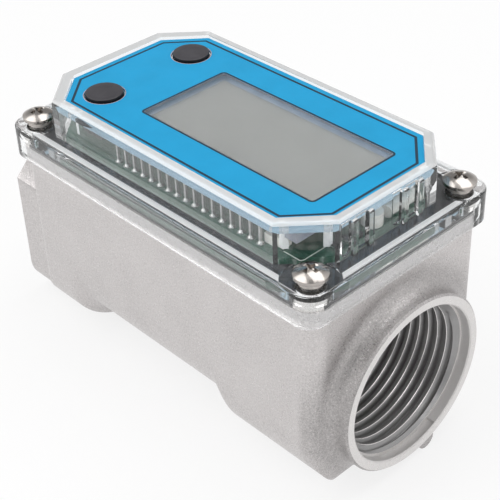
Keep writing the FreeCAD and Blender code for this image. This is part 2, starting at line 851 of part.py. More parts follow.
# ---------------------------------------------------------------- label and buttons
def label_plate():
    plate = label_block(0, roof_top, label_top)
    plate = plate.cut(rounded_block(window_x, window_length, window_width, window_corner_r,
                                    roof_top - 1, label_top + 1))
    for x, y in button_places().values():
        plate = plate.cut(upright(button_r + button_gap, x, y, roof_top - 1, label_top + 1))
    return plate


def push_button(x, y):
    """Domed cap, retaining flange under the roof, and a stem on the switch."""
    top = label_top + button_rise
    rim = top - button_dome
    flange_bottom = button_flange_top - button_flange_thickness
    edges = [
        line(Vector(0, 0, plunger_top), Vector(button_stem_r, 0, plunger_top)),
        line(Vector(button_stem_r, 0, plunger_top), Vector(button_stem_r, 0, flange_bottom)),
        line(Vector(button_stem_r, 0, flange_bottom), Vector(button_flange_r, 0, flange_bottom)),
        line(Vector(button_flange_r, 0, flange_bottom), Vector(button_flange_r, 0, button_flange_top)),
        line(Vector(button_flange_r, 0, button_flange_top), Vector(button_r, 0, button_flange_top)),
        line(Vector(button_r, 0, button_flange_top), Vector(button_r, 0, rim)),
        ball_cap(button_r, rim, top),
        line(Vector(0, 0, top), Vector(0, 0, plunger_top)),
    ]
    button = Part.Face(Part.Wire(edges)).revolve(Vector(0, 0, 0), Z_AXIS, 360)
    button.translate(Vector(x, y, 0))
    return button


def push_switch(x, y):
    """Square switch body with a well for its plunger."""
    half = switch_width / 2
    body = box(x - half, x + half, y - half, y + half, board_top, switch_top)
    well_floor = switch_top - plunger_depth - button_travel - plunger_gap
    return body.cut(upright(plunger_r + plunger_gap, x, y, well_floor, switch_top + 1))


def switch_plunger(x, y):
    return upright(plunger_r, x, y, switch_top - plunger_depth, plunger_top)


# ---------------------------------------------------------------- board and display
def circuit_board():
    board = case_block(case_wall + board_side_gap, board_bottom, board_top)
    hole_r = lead_r + slip_clearance
    for side in (-1, 1):
        board = board.cut(upright(hole_r, side * lead_offset, 0, board_bottom - 1, board_top + 1))
    return board


def lcd_glass():
    return box(window_x - glass_length / 2, window_x + glass_length / 2, -glass_width / 2, glass_width / 2,
               glass_bottom, glass_top)


def lcd_film():
    """Polarising film on the glass, just inside the window."""
    half_length = window_length / 2 - film_margin
    half_width = window_width / 2 - film_margin
    return box(window_x - half_length, window_x + half_length, -half_width, half_width,
               glass_top, glass_top + film_thickness)


def lcd_spacers():
    """Two pads that hold the display up off the board, under its ends."""
    pads = []
    for side in (-1, 1):
        x = window_x + side * (glass_length / 2 - spacer_inset)
        pads.append(box(x - spacer_thickness / 2, x + spacer_thickness / 2,
                        -spacer_width / 2, spacer_width / 2, board_top, glass_bottom))
    return Part.Compound(pads)


def lcd_pins():
    """A row of bent pins from each long edge of the display down to the board."""
    edge = glass_width / 2
    clip_top = glass_bottom + glass_thickness / 2
    half = pin_width / 2
    leg = box(-half, half, edge + pin_overhang - pin_width, edge + pin_overhang, board_top, clip_top)
    clip = box(-half, half, edge, edge + pin_overhang, clip_top - pin_width, clip_top)
    pin = leg.fuse(clip).removeSplitter()
    pins = []
    for turn in (0, 180):
        for i in range(pin_count):
            copy = pin.copy()
            copy.rotate(Vector(0, 0, 0), Z_AXIS, turn)
            copy.translate(Vector(pin_row_x + i * pin_pitch, 0, 0))
            pins.append(copy)
    return Part.Compound(pins)


def controller_chip():
    half = chip_size / 2
    return box(window_x - half, window_x + half, -half, half, board_top, board_top + chip_thickness)


def board_components():
    """Crystal, electrolytic can and chip parts by the outlet end of the board."""
    end = board_end_x - part_inset
    can = upright(can_r, end - can_r, 0, board_top, board_top + can_height)
    crystal_end = Vector(end - crystal_r, can_r + part_gap, board_top + crystal_r)
    crystal = Part.makeCylinder(crystal_r, crystal_length, crystal_end, Y_AXIS)
    pieces = [can, crystal]
    for i in range(chip_part_count):
        x = end - chip_part_length
        y = -can_r - part_gap - (i + 1) * chip_part_pitch
        pieces.append(box(x, end, y, y + chip_part_width, board_top, board_top + chip_part_height))
    return Part.Compound(pieces)


def socket_place():
    return board_end_x - socket_x, socket_y - board_width / 2


def board_socket():
    """Two-pin socket for the pickup's lead."""
    x, y = socket_place()
    top = board_top + socket_height
    socket = box(x - socket_length / 2, x + socket_length / 2, y - socket_width / 2, y + socket_width / 2,
                 board_top, top)
    for side in (-1, 1):
        socket = socket.cut(upright(socket_pin_r + slip_clearance, x + side * socket_pin_spacing / 2, y,
                                    board_top - 1, top + 1))
    return socket


def socket_pins():
    x, y = socket_place()
    top = board_top + socket_height + socket_pin_rise
    pins = [upright(socket_pin_r, x + side * socket_pin_spacing / 2, y, board_top, top) for side in (-1, 1)]
    return Part.Compound(pins)


# ---------------------------------------------------------------- cells and coil
def cell_rows():
    offset = cell_r + cell_gap / 2
    return (-offset, offset)


def battery_cells():
    """Two small cells side by side, one turned end for end."""
    cells = []
    body_length_only = cell_length - cell_nub_length
    for way, y in zip((1, -1), cell_rows()):
        start = cover_x - way * cell_length / 2
        tip = start + way * body_length_only
        axis = Vector(way, 0, 0)
        cell = Part.makeCylinder(cell_r, body_length_only, Vector(start, y, cell_z), axis)
        nub = Part.makeCylinder(cell_nub_r, cell_nub_length, Vector(tip, y, cell_z), axis)
        cells.append(cell.fuse(nub))
    return Part.Compound(cells)


def battery_tray():
    """Open tray on the pocket floor. The circuit board lies on its rim."""
    inner_length = cell_length + 2 * (contact_thickness + contact_bulge)
    inner_width = 4 * cell_r + cell_gap + 2 * cell_side_gap
    outer = box(cover_x - inner_length / 2 - tray_wall, cover_x + inner_length / 2 + tray_wall,
                -inner_width / 2 - tray_wall, inner_width / 2 + tray_wall, pocket_floor, board_bottom)
    inner = box(cover_x - inner_length / 2, cover_x + inner_length / 2,
                -inner_width / 2, inner_width / 2, cells_bottom, board_bottom + 1)
    tray = outer.cut(inner)
    for side in (-1, 1):
        tray = tray.cut(upright(2 * lead_r, side * lead_offset, 0, pocket_floor - 1, cells_bottom + 1))
    return tray


def battery_contacts():
    """Bowed leaf contacts between the cells' ends and the tray's walls."""
    half = contact_width / 2
    bow_half = half - contact_foot
    pieces = []
    for end in (-1, 1):
        wall = cover_x + end * (cell_length / 2 + contact_bulge + contact_thickness)
        tip = wall - end * (contact_bulge + contact_thickness)
        back = wall - end * contact_thickness
        bow_back = tip + end * contact_thickness
        for y in cell_rows():
            outline = [
                line(Vector(wall, y - half, 0), Vector(wall, y + half, 0)),
                line(Vector(wall, y + half, 0), Vector(back, y + half, 0)),
                arc(Vector(back, y + half, 0), Vector(tip, y, 0), Vector(back, y - half, 0)),
                line(Vector(back, y - half, 0), Vector(wall, y - half, 0)),
            ]
            leaf = Part.Face(Part.Wire(outline)).extrude(Vector(0, 0, contact_width))
            hollow_edges = [
                line(Vector(wall, y - bow_half, 0), Vector(wall, y + bow_half, 0)),
                arc(Vector(wall, y + bow_half, 0), Vector(bow_back, y, 0), Vector(wall, y - bow_half, 0)),
            ]
            hollow = Part.Face(Part.Wire(hollow_edges)).extrude(Vector(0, 0, contact_width))
            leaf = leaf.cut(hollow)
            leaf.translate(Vector(0, 0, cell_z - contact_width / 2))
            pieces.append(leaf)
    return Part.Compound(pieces)


def pickup_bobbin():
    """Spool that stands in the round well over the rotor."""
    top = bobbin_top
    spool = upright(bobbin_r, 0, 0, coil_floor, top)
    groove = upright(bobbin_r + 1, 0, 0, coil_floor + bobbin_flange, top - bobbin_flange)
    groove = groove.cut(upright(bobbin_hub_r, 0, 0, coil_floor, top))
    spool = spool.cut(groove)
    return spool.cut(upright(core_r + slip_clearance, 0, 0, coil_floor - 1, top + 1))


def pickup_winding():
    bottom = coil_floor + bobbin_flange
    top = bobbin_top - bobbin_flange
    wound = upright(bobbin_r - winding_inset, 0, 0, bottom, top)
    return wound.cut(upright(bobbin_hub_r, 0, 0, bottom - 1, top + 1))


def pickup_core():
    return upright(core_r, 0, 0, coil_floor, bobbin_top)


def coil_leads():
    leads = [upright(lead_r, side * lead_offset, 0, bobbin_top, board_top) for side in (-1, 1)]
    return Part.Compound(leads)


# ---------------------------------------------------------------- build
def build():
    save("body_casting", body_casting())
    straightener = flow_straightener()
    bush = bearing()
    ring = retaining_ring()
    save("outlet_flow_straightener", straightener)
    save("inlet_flow_straightener", to_inlet(straightener))
    save("outlet_bearing", bush)
    save("inlet_bearing", to_inlet(bush))
    save("outlet_retaining_ring", ring)
    save("inlet_retaining_ring", to_inlet(ring))
    save("turbine_rotor", turbine_rotor())
    save("rotor_shaft", rotor_shaft())
    save("rotor_magnets", rotor_magnets())
    save("gasket", gasket())
    save("clear_cover", clear_cover())
    save("screw_ferrules", screw_ferrules())
    save("screw_washers", screw_washers())
    save("cover_screws", cover_screws())
    save("label_plate", label_plate())
    for name, (x, y) in button_places().items():
        save(name + "_button", push_button(x, y))
        save(name + "_switch", push_switch(x, y))
        save(name + "_plunger", switch_plunger(x, y))
    save("circuit_board", circuit_board())
    save("controller_chip", controller_chip())
    save("board_components", board_components())
    save("board_socket", board_socket())
    save("socket_pins", socket_pins())
    save("lcd_glass", lcd_glass())
    save("lcd_film", lcd_film())
    save("lcd_spacers", lcd_spacers())
    save("lcd_pins", lcd_pins())
    save("battery_tray", battery_tray())
    save("battery_cells", battery_cells())
    save("battery_contacts", battery_contacts())
    save("pickup_bobbin", pickup_bobbin())
    save("pickup_winding", pickup_winding())
    save("pickup_core", pickup_core())
    save("coil_leads", coil_leads())


build()
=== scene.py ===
import json
import math

import bmesh
import bpy
from bpy.props import FloatProperty, FloatVectorProperty, IntProperty, PointerProperty
from mathutils import Matrix, Vector


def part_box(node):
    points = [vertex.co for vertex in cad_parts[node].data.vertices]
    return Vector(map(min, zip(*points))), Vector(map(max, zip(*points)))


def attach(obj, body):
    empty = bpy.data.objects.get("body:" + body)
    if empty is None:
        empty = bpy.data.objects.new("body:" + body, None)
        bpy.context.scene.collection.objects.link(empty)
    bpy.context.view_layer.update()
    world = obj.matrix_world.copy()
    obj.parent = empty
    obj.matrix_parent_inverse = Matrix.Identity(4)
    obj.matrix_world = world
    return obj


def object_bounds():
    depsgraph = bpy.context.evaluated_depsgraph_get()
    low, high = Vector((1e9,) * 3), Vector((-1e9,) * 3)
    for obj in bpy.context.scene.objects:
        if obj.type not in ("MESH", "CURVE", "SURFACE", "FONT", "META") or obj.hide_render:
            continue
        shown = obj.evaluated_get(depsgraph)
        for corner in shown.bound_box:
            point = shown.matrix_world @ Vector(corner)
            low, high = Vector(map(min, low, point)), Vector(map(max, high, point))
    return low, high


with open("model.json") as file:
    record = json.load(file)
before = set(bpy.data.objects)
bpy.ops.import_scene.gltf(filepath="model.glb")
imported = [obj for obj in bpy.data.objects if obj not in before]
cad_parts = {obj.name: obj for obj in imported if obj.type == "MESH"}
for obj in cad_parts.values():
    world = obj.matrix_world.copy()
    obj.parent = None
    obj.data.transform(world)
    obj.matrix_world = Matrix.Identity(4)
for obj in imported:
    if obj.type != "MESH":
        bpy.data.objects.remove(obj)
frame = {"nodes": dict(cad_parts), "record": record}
CAD_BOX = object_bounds()

bl_info = {
    "name": "Turbine Flow Meter",
    "version": (1, 0, 0),
    "blender": (4, 5, 0),
    "location": "View3D > Sidebar > Flow Meter",
    "description": "Finishes and fine pieces of a turbine flow meter, built round its packed frame",
    "category": "Add Mesh",
}

MM = 0.001
WELD = 1e-7  # points of a new mesh this close are one
SAME_CORNER = 1e-6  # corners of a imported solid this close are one
ON_FACE = 0.05 * MM  # what lies this close to an end is on it
FLAT = 0.9  # least upright share of a flat face's normal
SLANTED = 0.5  # least upright share of the normal of a face that looks up
NOISE_LOW = 0.3  # noise seldom falls below this
NOISE_HIGH = 0.7  # noise seldom rises above this
COLOUR = {"subtype": "COLOR", "size": 3, "min": 0.0, "max": 1.0}


# ------------------------------------------------------------------ settings
class CastingSettings(bpy.types.PropertyGroup):
    """Finish of the cast body."""

    colour: FloatVectorProperty(name="Cast colour", description="Blasted aluminium skin",
                                default=(0.60, 0.575, 0.57), **COLOUR)
    machined_colour: FloatVectorProperty(name="Machined colour", description="Turned faces and bores",
                                         default=(0.72, 0.70, 0.69), **COLOUR)
    grain: FloatProperty(name="Grain size", description="Size of the blasted grain", subtype="DISTANCE",
                         default=0.22 * MM, min=0.05 * MM, max=2 * MM)
    mouth_depth: FloatProperty(name="Mouth depth", description="How far in the ports are turned smooth",
                               subtype="DISTANCE", default=3 * MM, min=1 * MM, max=10 * MM)
    mouth_wall: FloatProperty(name="Mouth wall", description="Turned zone outside the thread",
                              subtype="DISTANCE", default=1.6 * MM, min=0.5 * MM, max=4 * MM)


class ThreadSettings(bpy.types.PropertyGroup):
    """Ridges of the pipe threads."""

    pitch: FloatProperty(name="Pitch", description="Distance from crest to crest", subtype="DISTANCE",
                         default=2.309 * MM, min=1 * MM, max=4 * MM)
    depth: FloatProperty(name="Depth", description="Height of the ridges", subtype="DISTANCE",
                         default=1.15 * MM, min=0.5 * MM, max=2 * MM)
    steps: IntProperty(name="Steps", description="Straight runs in one turn", default=112, min=24, max=360)
    # painted reflection: the flanks' colour is darkened for the dark surroundings they mirror
    colour: FloatVectorProperty(name="Colour", description="Cut metal of the flanks",
                                default=(0.35, 0.345, 0.345), **COLOUR)
    # painted highlight on the rounded edges of the crests
    crest_highlight_colour: FloatVectorProperty(name="Crest colour", description="Burnished edges of the ridges",
                                      default=(0.72, 0.70, 0.69), **COLOUR)


class CoverSettings(bpy.types.PropertyGroup):
    """Clear plastic of the cover."""

    tint: FloatVectorProperty(name="Tint", description="Colour of the clear plastic",
                              default=(0.965, 0.975, 0.98), **COLOUR)
    haze: FloatProperty(name="Haze", description="Share of light the plastic scatters", default=0.015,
                        min=0.0, max=0.5)
    film_of_air: FloatProperty(name="Film of air",
                               description="Air left between the gasket and the plastic",
                               subtype="DISTANCE", default=0.03 * MM, min=0.0, max=0.1 * MM)
    bead_height: FloatProperty(name="Bead height",
                               description="Height of the flange's bead over the gasket",
                               subtype="DISTANCE", default=3.1 * MM, min=1 * MM, max=6 * MM)
    frost: FloatProperty(name="Frost", description="Share of light the blasted bead scatters", default=0.60,
                         min=0.0, max=0.9)
    # painted highlight: widths of the milky strips on the clear case's upright edges
    bar_on_wall: FloatProperty(name="Bar on the wall", description="Bright upright edge, along a wall",
                               subtype="DISTANCE", default=0.8 * MM, min=0.1 * MM, max=3 * MM)
    bar_on_corner: FloatProperty(name="Bar on the corner",
                                 description="Bright upright edge, along a corner", subtype="DISTANCE",
                                 default=1.1 * MM, min=0.1 * MM, max=3 * MM)
    gasket_colour: FloatVectorProperty(name="Gasket colour", description="Black sealing rubber",
                                       default=(0.012, 0.012, 0.014), **COLOUR)


class ScrewSettings(bpy.types.PropertyGroup):
    """Cross-recess pan-head screws."""

    colour: FloatVectorProperty(name="Colour", description="Nickel plating", default=(0.44, 0.41, 0.385),
                                **COLOUR)


class LabelSettings(bpy.types.PropertyGroup):
    """Printed label, its lines and the buttons."""

    colour: FloatVectorProperty(name="Label colour", description="Printed blue",
                                default=(0.018, 0.337, 0.625), **COLOUR)
    # painted light: the back of the film glows, standing in for light shining through it
    back_glow_colour: FloatVectorProperty(name="Backing colour", description="Lit-through back of the film",
                                        default=(0.50, 0.68, 0.80), **COLOUR)
    line_colour: FloatVectorProperty(name="Line colour", description="Printed lines",
                                     default=(0.008, 0.035, 0.065), **COLOUR)
    line_width: FloatProperty(name="Line width", description="Width of the printed lines",
                              subtype="DISTANCE", default=0.54 * MM, min=0.1 * MM, max=1 * MM)
    line_inset: FloatProperty(name="Line inset", description="Border line, in from the label's edge",
                              subtype="DISTANCE", default=1.40 * MM, min=0.3 * MM, max=4 * MM)
    line_height: FloatProperty(name="Line height", description="Thickness of the printed ink",
                               subtype="DISTANCE", default=0.02 * MM, min=0.005 * MM, max=0.1 * MM)
    cut_colour: FloatVectorProperty(name="Cut edge colour", description="Wall of the display window",
                                    default=(0.24, 0.26, 0.30), **COLOUR)
    # painted highlight: a pale ring stands in for the light caught by the edge round each button hole
    rim_highlight_colour: FloatVectorProperty(name="Rim colour", description="Punched edge round the buttons",
                                    default=(0.55, 0.42, 0.45), **COLOUR)
    # width of the painted highlight round the button holes
    rim_width: FloatProperty(name="Rim width", description="Punched edge round the buttons",
                             subtype="DISTANCE", default=0.12 * MM, min=0.05 * MM, max=0.5 * MM)
    cap_r: FloatProperty(name="Cap radius", description="Raised face of a button", subtype="DISTANCE",
                         default=3.95 * MM, min=2 * MM, max=6 * MM)
    cap_height: FloatProperty(name="Cap height", description="Rise of a button's face over its dome's foot",
                              subtype="DISTANCE", default=0.9 * MM, min=0.2 * MM, max=1 * MM)
    cap_overlap: FloatProperty(name="Cap overlap", description="How far the face reaches down the dome",
                               subtype="DISTANCE", default=0.38 * MM, min=0.0, max=1 * MM)
    button_colour: FloatVectorProperty(name="Button colour", description="Moulded rubber caps",
                                       default=(0.055, 0.053, 0.060), **COLOUR)


class DisplaySettings(bpy.types.PropertyGroup):
    """Liquid crystal display and circuit board."""

    film_colour: FloatVectorProperty(name="Film colour", description="Unlit display",
                                     default=(0.23, 0.232, 0.222), **COLOUR)
    glass_colour: FloatVectorProperty(name="Glass colour", description="Bare rim of the display glass",
                                      default=(0.27, 0.29, 0.34), **COLOUR)
    solder_r: FloatProperty(name="Solder radius", description="Foot of a solder joint", subtype="DISTANCE",
                            default=0.62 * MM, min=0.3 * MM, max=2 * MM)
    solder_height: FloatProperty(name="Solder height", description="Height of a solder joint",
                                 subtype="DISTANCE", default=0.9 * MM, min=0.2 * MM, max=2 * MM)
    chip_drop: FloatProperty(name="Chip drop", description="How much lower than the tallest a chip is",
                             subtype="DISTANCE", default=1 * MM, min=0.1 * MM, max=3 * MM)
    mark_x: FloatVectorProperty(name="Mark along the board", description="Ends of the printed corner",
                                subtype="TRANSLATION", size=2, default=(33.4 * MM, 38.0 * MM))
    mark_y: FloatVectorProperty(name="Mark across the board", description="Ends of the printed corner",
                                subtype="TRANSLATION", size=2, default=(-17.1 * MM, -10.9 * MM))
    mark_width: FloatProperty(name="Mark width", description="Width of the printed corner",
                              subtype="DISTANCE", default=0.2 * MM, min=0.1 * MM, max=1 * MM)
    board_colour: FloatVectorProperty(name="Board colour", description="Green solder mask",
                                      default=(0.006, 0.062, 0.036), **COLOUR)


class StageSettings(bpy.types.PropertyGroup):
    """Camera, lamps and floor."""

    azimuth: FloatProperty(name="Azimuth", description="Camera's turn round the meter", subtype="ANGLE",
                           default=math.radians(47.835))
    elevation: FloatProperty(name="Elevation", description="Camera's height over the horizon",
                             subtype="ANGLE", default=math.radians(35.965))
    roll: FloatProperty(name="Roll", description="Camera's tilt", subtype="ANGLE",
                        default=math.radians(-2.443))
    distance: FloatProperty(name="Distance", description="Camera to the point it looks at",
                            subtype="DISTANCE", default=244.5 * MM)
    aim: FloatVectorProperty(name="Aim", description="Point looked at, from the middle of the meter",
                             subtype="TRANSLATION", size=3, default=(17.52 * MM, -10.69 * MM, 10.63 * MM))
    lens: FloatProperty(name="Lens", description="Focal length in millimetres", default=90.3, min=20,
                        max=300)
    card_shade: FloatProperty(name="Dark card", description="Brightness of the dark card behind the camera",
                              default=0.10, min=0.0, max=1.0)
    card_edge: FloatProperty(name="Card edge",
                             description="Cosine of the angle at which the dark card ends", default=0.50,
                             min=0.0, max=0.9)
    far_shade: FloatProperty(name="Far card", description="Brightness of the card beyond the meter",
                             default=0.38, min=0.0, max=1.0)
    far_edge: FloatProperty(name="Far card edge", description="Cosine of the angle where the far card ends",
                            default=0.60, min=0.0, max=0.9)
    floor_colour: FloatVectorProperty(name="Floor colour", description="Pale studio floor",
                                      default=(0.92, 0.92, 0.92), **COLOUR)


# ------------------------------------------------------------------ parts and lamps
BLACK_MOULDINGS = ("lcd_spacers", "controller_chip", "calibrate_switch", "display_switch",
                   "calibrate_plunger", "display_plunger", "battery_tray", "pickup_bobbin")
TINNED_PARTS = ("socket_pins", "battery_contacts", "pickup_core")
COPPER_PARTS = ("pickup_winding", "coil_leads")
FLOOR_REACH = 3.0  # metres from the middle to the floor's edges
FLOOR_WHITE = 0.78  # share of plain white in the floor as it is seen
ROOM_LIGHT = 0.4  # strength of the surroundings as a light
CARD_MIDDLE = 0.93  # cosine of the angle within which a card is darkest
# name, place from the meter's middle and side in metres, power in watts
LAMPS = (
    ("key_lamp", (-0.28, -0.42, 0.55), 0.80, 3.4),
    ("fill_lamp", (0.62, -0.10, 0.30), 0.45, 1.0),
    ("top_lamp", (0.05, 0.25, 0.65), 0.50, 1.8),
)


# ------------------------------------------------------------------ the record
def body_name(node):
    """The moving body that carries a node."""
    for body, nodes in frame["record"]["behaviour"]["bodies"].items():
        if node in nodes:
            return body
    raise RuntimeError("no body carries " + node)


def mount(name):
    """A mount of the record: its place, axis and sizes."""
    for entry in frame["record"]["mounts"]:
        if entry["name"] == name:
            return entry
    raise RuntimeError("the record has no mount " + name)


# ------------------------------------------------------------------ pieces
def add_piece(name, mesh, rides_on, materials, smooth=True):
    """Links a mesh as a named piece that rides on the same body as a node."""
    piece = bpy.data.objects.new(name, mesh)
    bpy.context.scene.collection.objects.link(piece)
    for material in materials:
        mesh.materials.append(material)
    for face in mesh.polygons:
        face.use_smooth = smooth
    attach(piece, body_name(rides_on))
    return piece


def dress(node, *materials):
    """Gives a node its finish."""
    piece = frame["nodes"][node]
    piece.data.materials.clear()
    for material in materials:
        piece.data.materials.append(material)
    return piece


def offset(node, distance):
    """Swells or shrinks a node's surface a hair, so that touching faces don't coincide."""
    hair = frame["nodes"][node].modifiers.new("hair", "DISPLACE")
    hair.direction = "NORMAL"
    hair.mid_level = 0.0
    hair.strength = distance


def past_box(place, low, high):
    """How far a place lies outside a box, seen from above."""
    return max(low.x - place.x, place.x - high.x, low.y - place.y, place.y - high.y)


# ------------------------------------------------------------------ meshes
def mesh_from(name, solids):
    """One mesh with outward faces, from the (points, faces) of its solids."""
    points = []
    faces = []
    for solid_points, solid_faces in solids:
        base = len(points)
        points.extend(tuple(point) for point in solid_points)
        faces.extend(tuple(base + index for index in face) for face in solid_faces)
    mesh = bpy.data.meshes.new(name)
    mesh.from_pydata(points, [], faces)
    shape = bmesh.new()
    shape.from_mesh(mesh)
    bmesh.ops.remove_doubles(shape, verts=shape.verts, dist=WELD)
    bmesh.ops.recalc_face_normals(shape, faces=shape.faces)
    shape.to_mesh(mesh)
    shape.free()
    return mesh


def upright(outline, low, high):
    """A solid drawn up from one height to another on an outline."""
    count = len(outline)
    points = [Vector((point.x, point.y, height)) for height in (low, high) for point in outline]
    faces = [tuple(range(count)), tuple(range(count, 2 * count))]
    for i in range(count):
        after = (i + 1) % count
        faces.append((i, after, count + after, count + i))
    return points, faces


def turned(foot, profile, sides):
    """A solid turned on an upright axis, from the (radius, rise) pairs of its profile."""
    points = []
    for radius, rise in profile:
        for i in range(sides):
            turn = 2 * math.pi * i / sides
            points.append(foot + Vector((radius * math.cos(turn), radius * math.sin(turn), rise)))
    top = len(points) - sides
    faces = [tuple(range(sides)), tuple(range(top, top + sides))]
    for low in range(0, top, sides):
        for i in range(sides):
            after = (i + 1) % sides
            faces.append((low + i, low + after, low + sides + after, low + sides + i))
    return points, faces


def sharpen(mesh, degrees):
    """Keeps edges crisp where faces meet at more than an angle."""
    shape = bmesh.new()
    shape.from_mesh(mesh)
    limit = math.radians(degrees)
    for edge in shape.edges:
        if len(edge.link_faces) == 2:
            edge.smooth = edge.calc_face_angle(0) < limit
    shape.to_mesh(mesh)
    shape.free()
    return mesh


# ------------------------------------------------------------------ outlines
def rim_loops(node):
    """Closed outlines of a node's flat top, the longest first."""
    mesh = frame["nodes"][node].data
    top = max(vert.co.z for vert in mesh.vertices) - 0.01 * MM
    shape = bmesh.new()
    shape.from_mesh(mesh)
    bmesh.ops.remove_doubles(shape, verts=shape.verts, dist=SAME_CORNER)
    follow = {}
    for face in shape.faces:
        if face.normal.z < FLAT or face.calc_center_median().z < top:
            continue
        for loop in face.loops:
            others = [other for other in loop.edge.link_faces if other is not face]
            if others and others[0].normal.z < FLAT:
                follow[loop.vert.index] = (loop.link_loop_next.vert.index, loop.vert.co.copy())
    shape.free()
    loops = []
    while follow:
        index = next(iter(follow))
        points = []
        while index in follow:
            index, point = follow.pop(index)
            points.append(point)
        loops.append(points)
    return sorted(loops, key=loop_length, reverse=True)


def loop_length(points):
    """Length round a closed outline."""
    return sum((points[i] - points[i - 1]).length for i in range(len(points)))


def arms(points):
    """Each corner of a closed outline with the unit vectors that lead to it and from it."""
    for i, point in enumerate(points):
        after = points[(i + 1) % len(points)]
        yield point, (point - points[i - 1]).normalized(), (after - point).normalized()


def inset_loop(points, distance):
    """The outline moved to its left by a distance, with mitred corners."""
    moved = []
    for point, before, after in arms(points):
        left_before = Vector((-before.y, before.x, 0))
        left_after = Vector((-after.y, after.x, 0))
        reach = (left_before + left_after) / (1 + left_before.dot(left_after))
        moved.append(point + reach * distance)
    return moved


def line_mesh(name, outline, near, far, height):
    """Flat printed line or painted highlight between two insets of an outline, raised by its ink."""
    count = len(outline)
    points = []
    for inset, lift in ((near, 0), (near, 2 * height), (far, 2 * height), (far, 0)):
        points += [point + Vector((0, 0, lift)) for point in inset_loop(outline, inset)]
    faces = []
    for start in range(0, len(points), count):
        below = (start + count) % len(points)
        for i in range(count):
            after = (i + 1) % count
            faces.append((start + i, start + after, below + after, below + i))
    return mesh_from(name, [(points, faces)])


# ------------------------------------------------------------------ finishes
def scaled(colour, factor):
    """A colour made darker or lighter."""
    return tuple(min(1.0, share * factor) for share in colour)


class Nodes:
    """A node tree that is built one node after another."""

    def __init__(self, tree):
        self.tree = tree

    def add(self, kind, **settings):
        node = self.tree.nodes.new(kind)
        for key, value in settings.items():
            setattr(node, key, value)
        return node

    def link(self, source, target):
        self.tree.links.new(source, target)

    def feed(self, socket, value):
        """Sets a socket to a number, or links an output to it."""
        if isinstance(value, (int, float)):
            socket.default_value = value
        else:
            self.link(value, socket)

    def combine(self, operation, first, second):
        """One value worked out from two."""
        node = self.add("ShaderNodeMath", operation=operation)
        self.feed(node.inputs[0], first)
        self.feed(node.inputs[1], second)
        return node.outputs["Value"]

    def steps(self, value, low, high, to_low, to_high, **settings):
        """Maps a range of values onto another."""
        node = self.add("ShaderNodeMapRange", clamp=True, **settings)
        self.link(value, node.inputs["Value"])
        for socket, end in zip(("From Min", "From Max", "To Min", "To Max"), (low, high, to_low, to_high)):
            self.feed(node.inputs[socket], end)
        return node.outputs["Result"]

    def seen_directly(self):
        """1 for rays that show the background: from the camera, in gloss and through glass."""
        path = self.add("ShaderNodeLightPath").outputs
        plain = self.combine("MAXIMUM", path["Is Camera Ray"], path["Is Glossy Ray"])
        return self.combine("MAXIMUM", plain, path["Is Transmission Ray"])


class Finish(Nodes):
    """A material whose colour, gloss and relief are laid on one after another."""

    def __init__(self, name, colour, metallic=0.0, roughness=0.5):
        self.material = bpy.data.materials.new(name)
        self.material.use_nodes = True
        super().__init__(self.material.node_tree)
        self.shader = self.tree.nodes["Principled BSDF"]
        self.colour = tuple(colour)
        self.set("Base Color", (*self.colour, 1.0))
        self.set("Metallic", metallic)
        self.set("Roughness", roughness)
        self.place = self.add("ShaderNodeTexCoord").outputs["Object"]
        self.last_normal = None

    def set(self, socket, value):
        self.shader.inputs[socket].default_value = value

    def noise(self, size, detail=3.0, roughness=0.5, stretch=(1, 1, 1)):
        """Cloudy variation with features of a given size in metres, squeezed along the axes."""
        mapping = self.add("ShaderNodeMapping")
        mapping.inputs["Scale"].default_value = stretch
        self.link(self.place, mapping.inputs["Vector"])
        noise = self.add("ShaderNodeTexNoise")
        noise.inputs["Scale"].default_value = 1.0 / size
        noise.inputs["Detail"].default_value = detail
        noise.inputs["Roughness"].default_value = roughness
        self.link(mapping.outputs["Vector"], noise.inputs["Vector"])
        return noise.outputs["Fac"]

    def cells(self, size):
        """Distance to scattered points, for pits."""
        cells = self.add("ShaderNodeTexVoronoi")
        cells.inputs["Scale"].default_value = 1.0 / size
        self.link(self.place, cells.inputs["Vector"])
        return cells.outputs["Distance"]

    def bump(self, height, depth, strength=0.5):
        """Relief of a given depth in metres, on top of what is there."""
        bump = self.add("ShaderNodeBump")
        bump.inputs["Distance"].default_value = depth
        bump.inputs["Strength"].default_value = strength
        self.link(height, bump.inputs["Height"])
        if self.last_normal is not None:
            self.link(self.last_normal, bump.inputs["Normal"])
        self.last_normal = bump.outputs["Normal"]
        self.link(self.last_normal, self.shader.inputs["Normal"])

    def shade_by(self, value, *stops):
        """Makes the colour lighter or darker along a value: (position, factor) pairs."""
        ramp = self.add("ShaderNodeValToRGB")
        while len(ramp.color_ramp.elements) < len(stops):
            ramp.color_ramp.elements.new(0.5)
        for element, (position, factor) in zip(ramp.color_ramp.elements, stops):
            element.position = position
            element.color = (*scaled(self.colour, factor), 1.0)
        self.link(value, ramp.inputs["Fac"])
        self.link(ramp.outputs["Color"], self.shader.inputs["Base Color"])

    def mottle(self, noise, dark, light):
        """Lets the colour drift between two factors."""
        self.shade_by(noise, (NOISE_LOW, dark), (NOISE_HIGH, light))

    def roughen(self, noise, smooth, rough, low=NOISE_LOW, high=NOISE_HIGH):
        """Lets the roughness drift between two values."""
        self.link(self.steps(noise, low, high, smooth, rough), self.shader.inputs["Roughness"])

    def give_way(self, share, other):
        """Shows another shader to a share of the rays."""
        mix = self.add("ShaderNodeMixShader")
        self.link(share, mix.inputs["Fac"])
        self.link(self.shader.outputs["BSDF"], mix.inputs[1])
        self.link(other, mix.inputs[2])
        self.link(mix.outputs["Shader"], self.tree.nodes["Material Output"].inputs["Surface"])


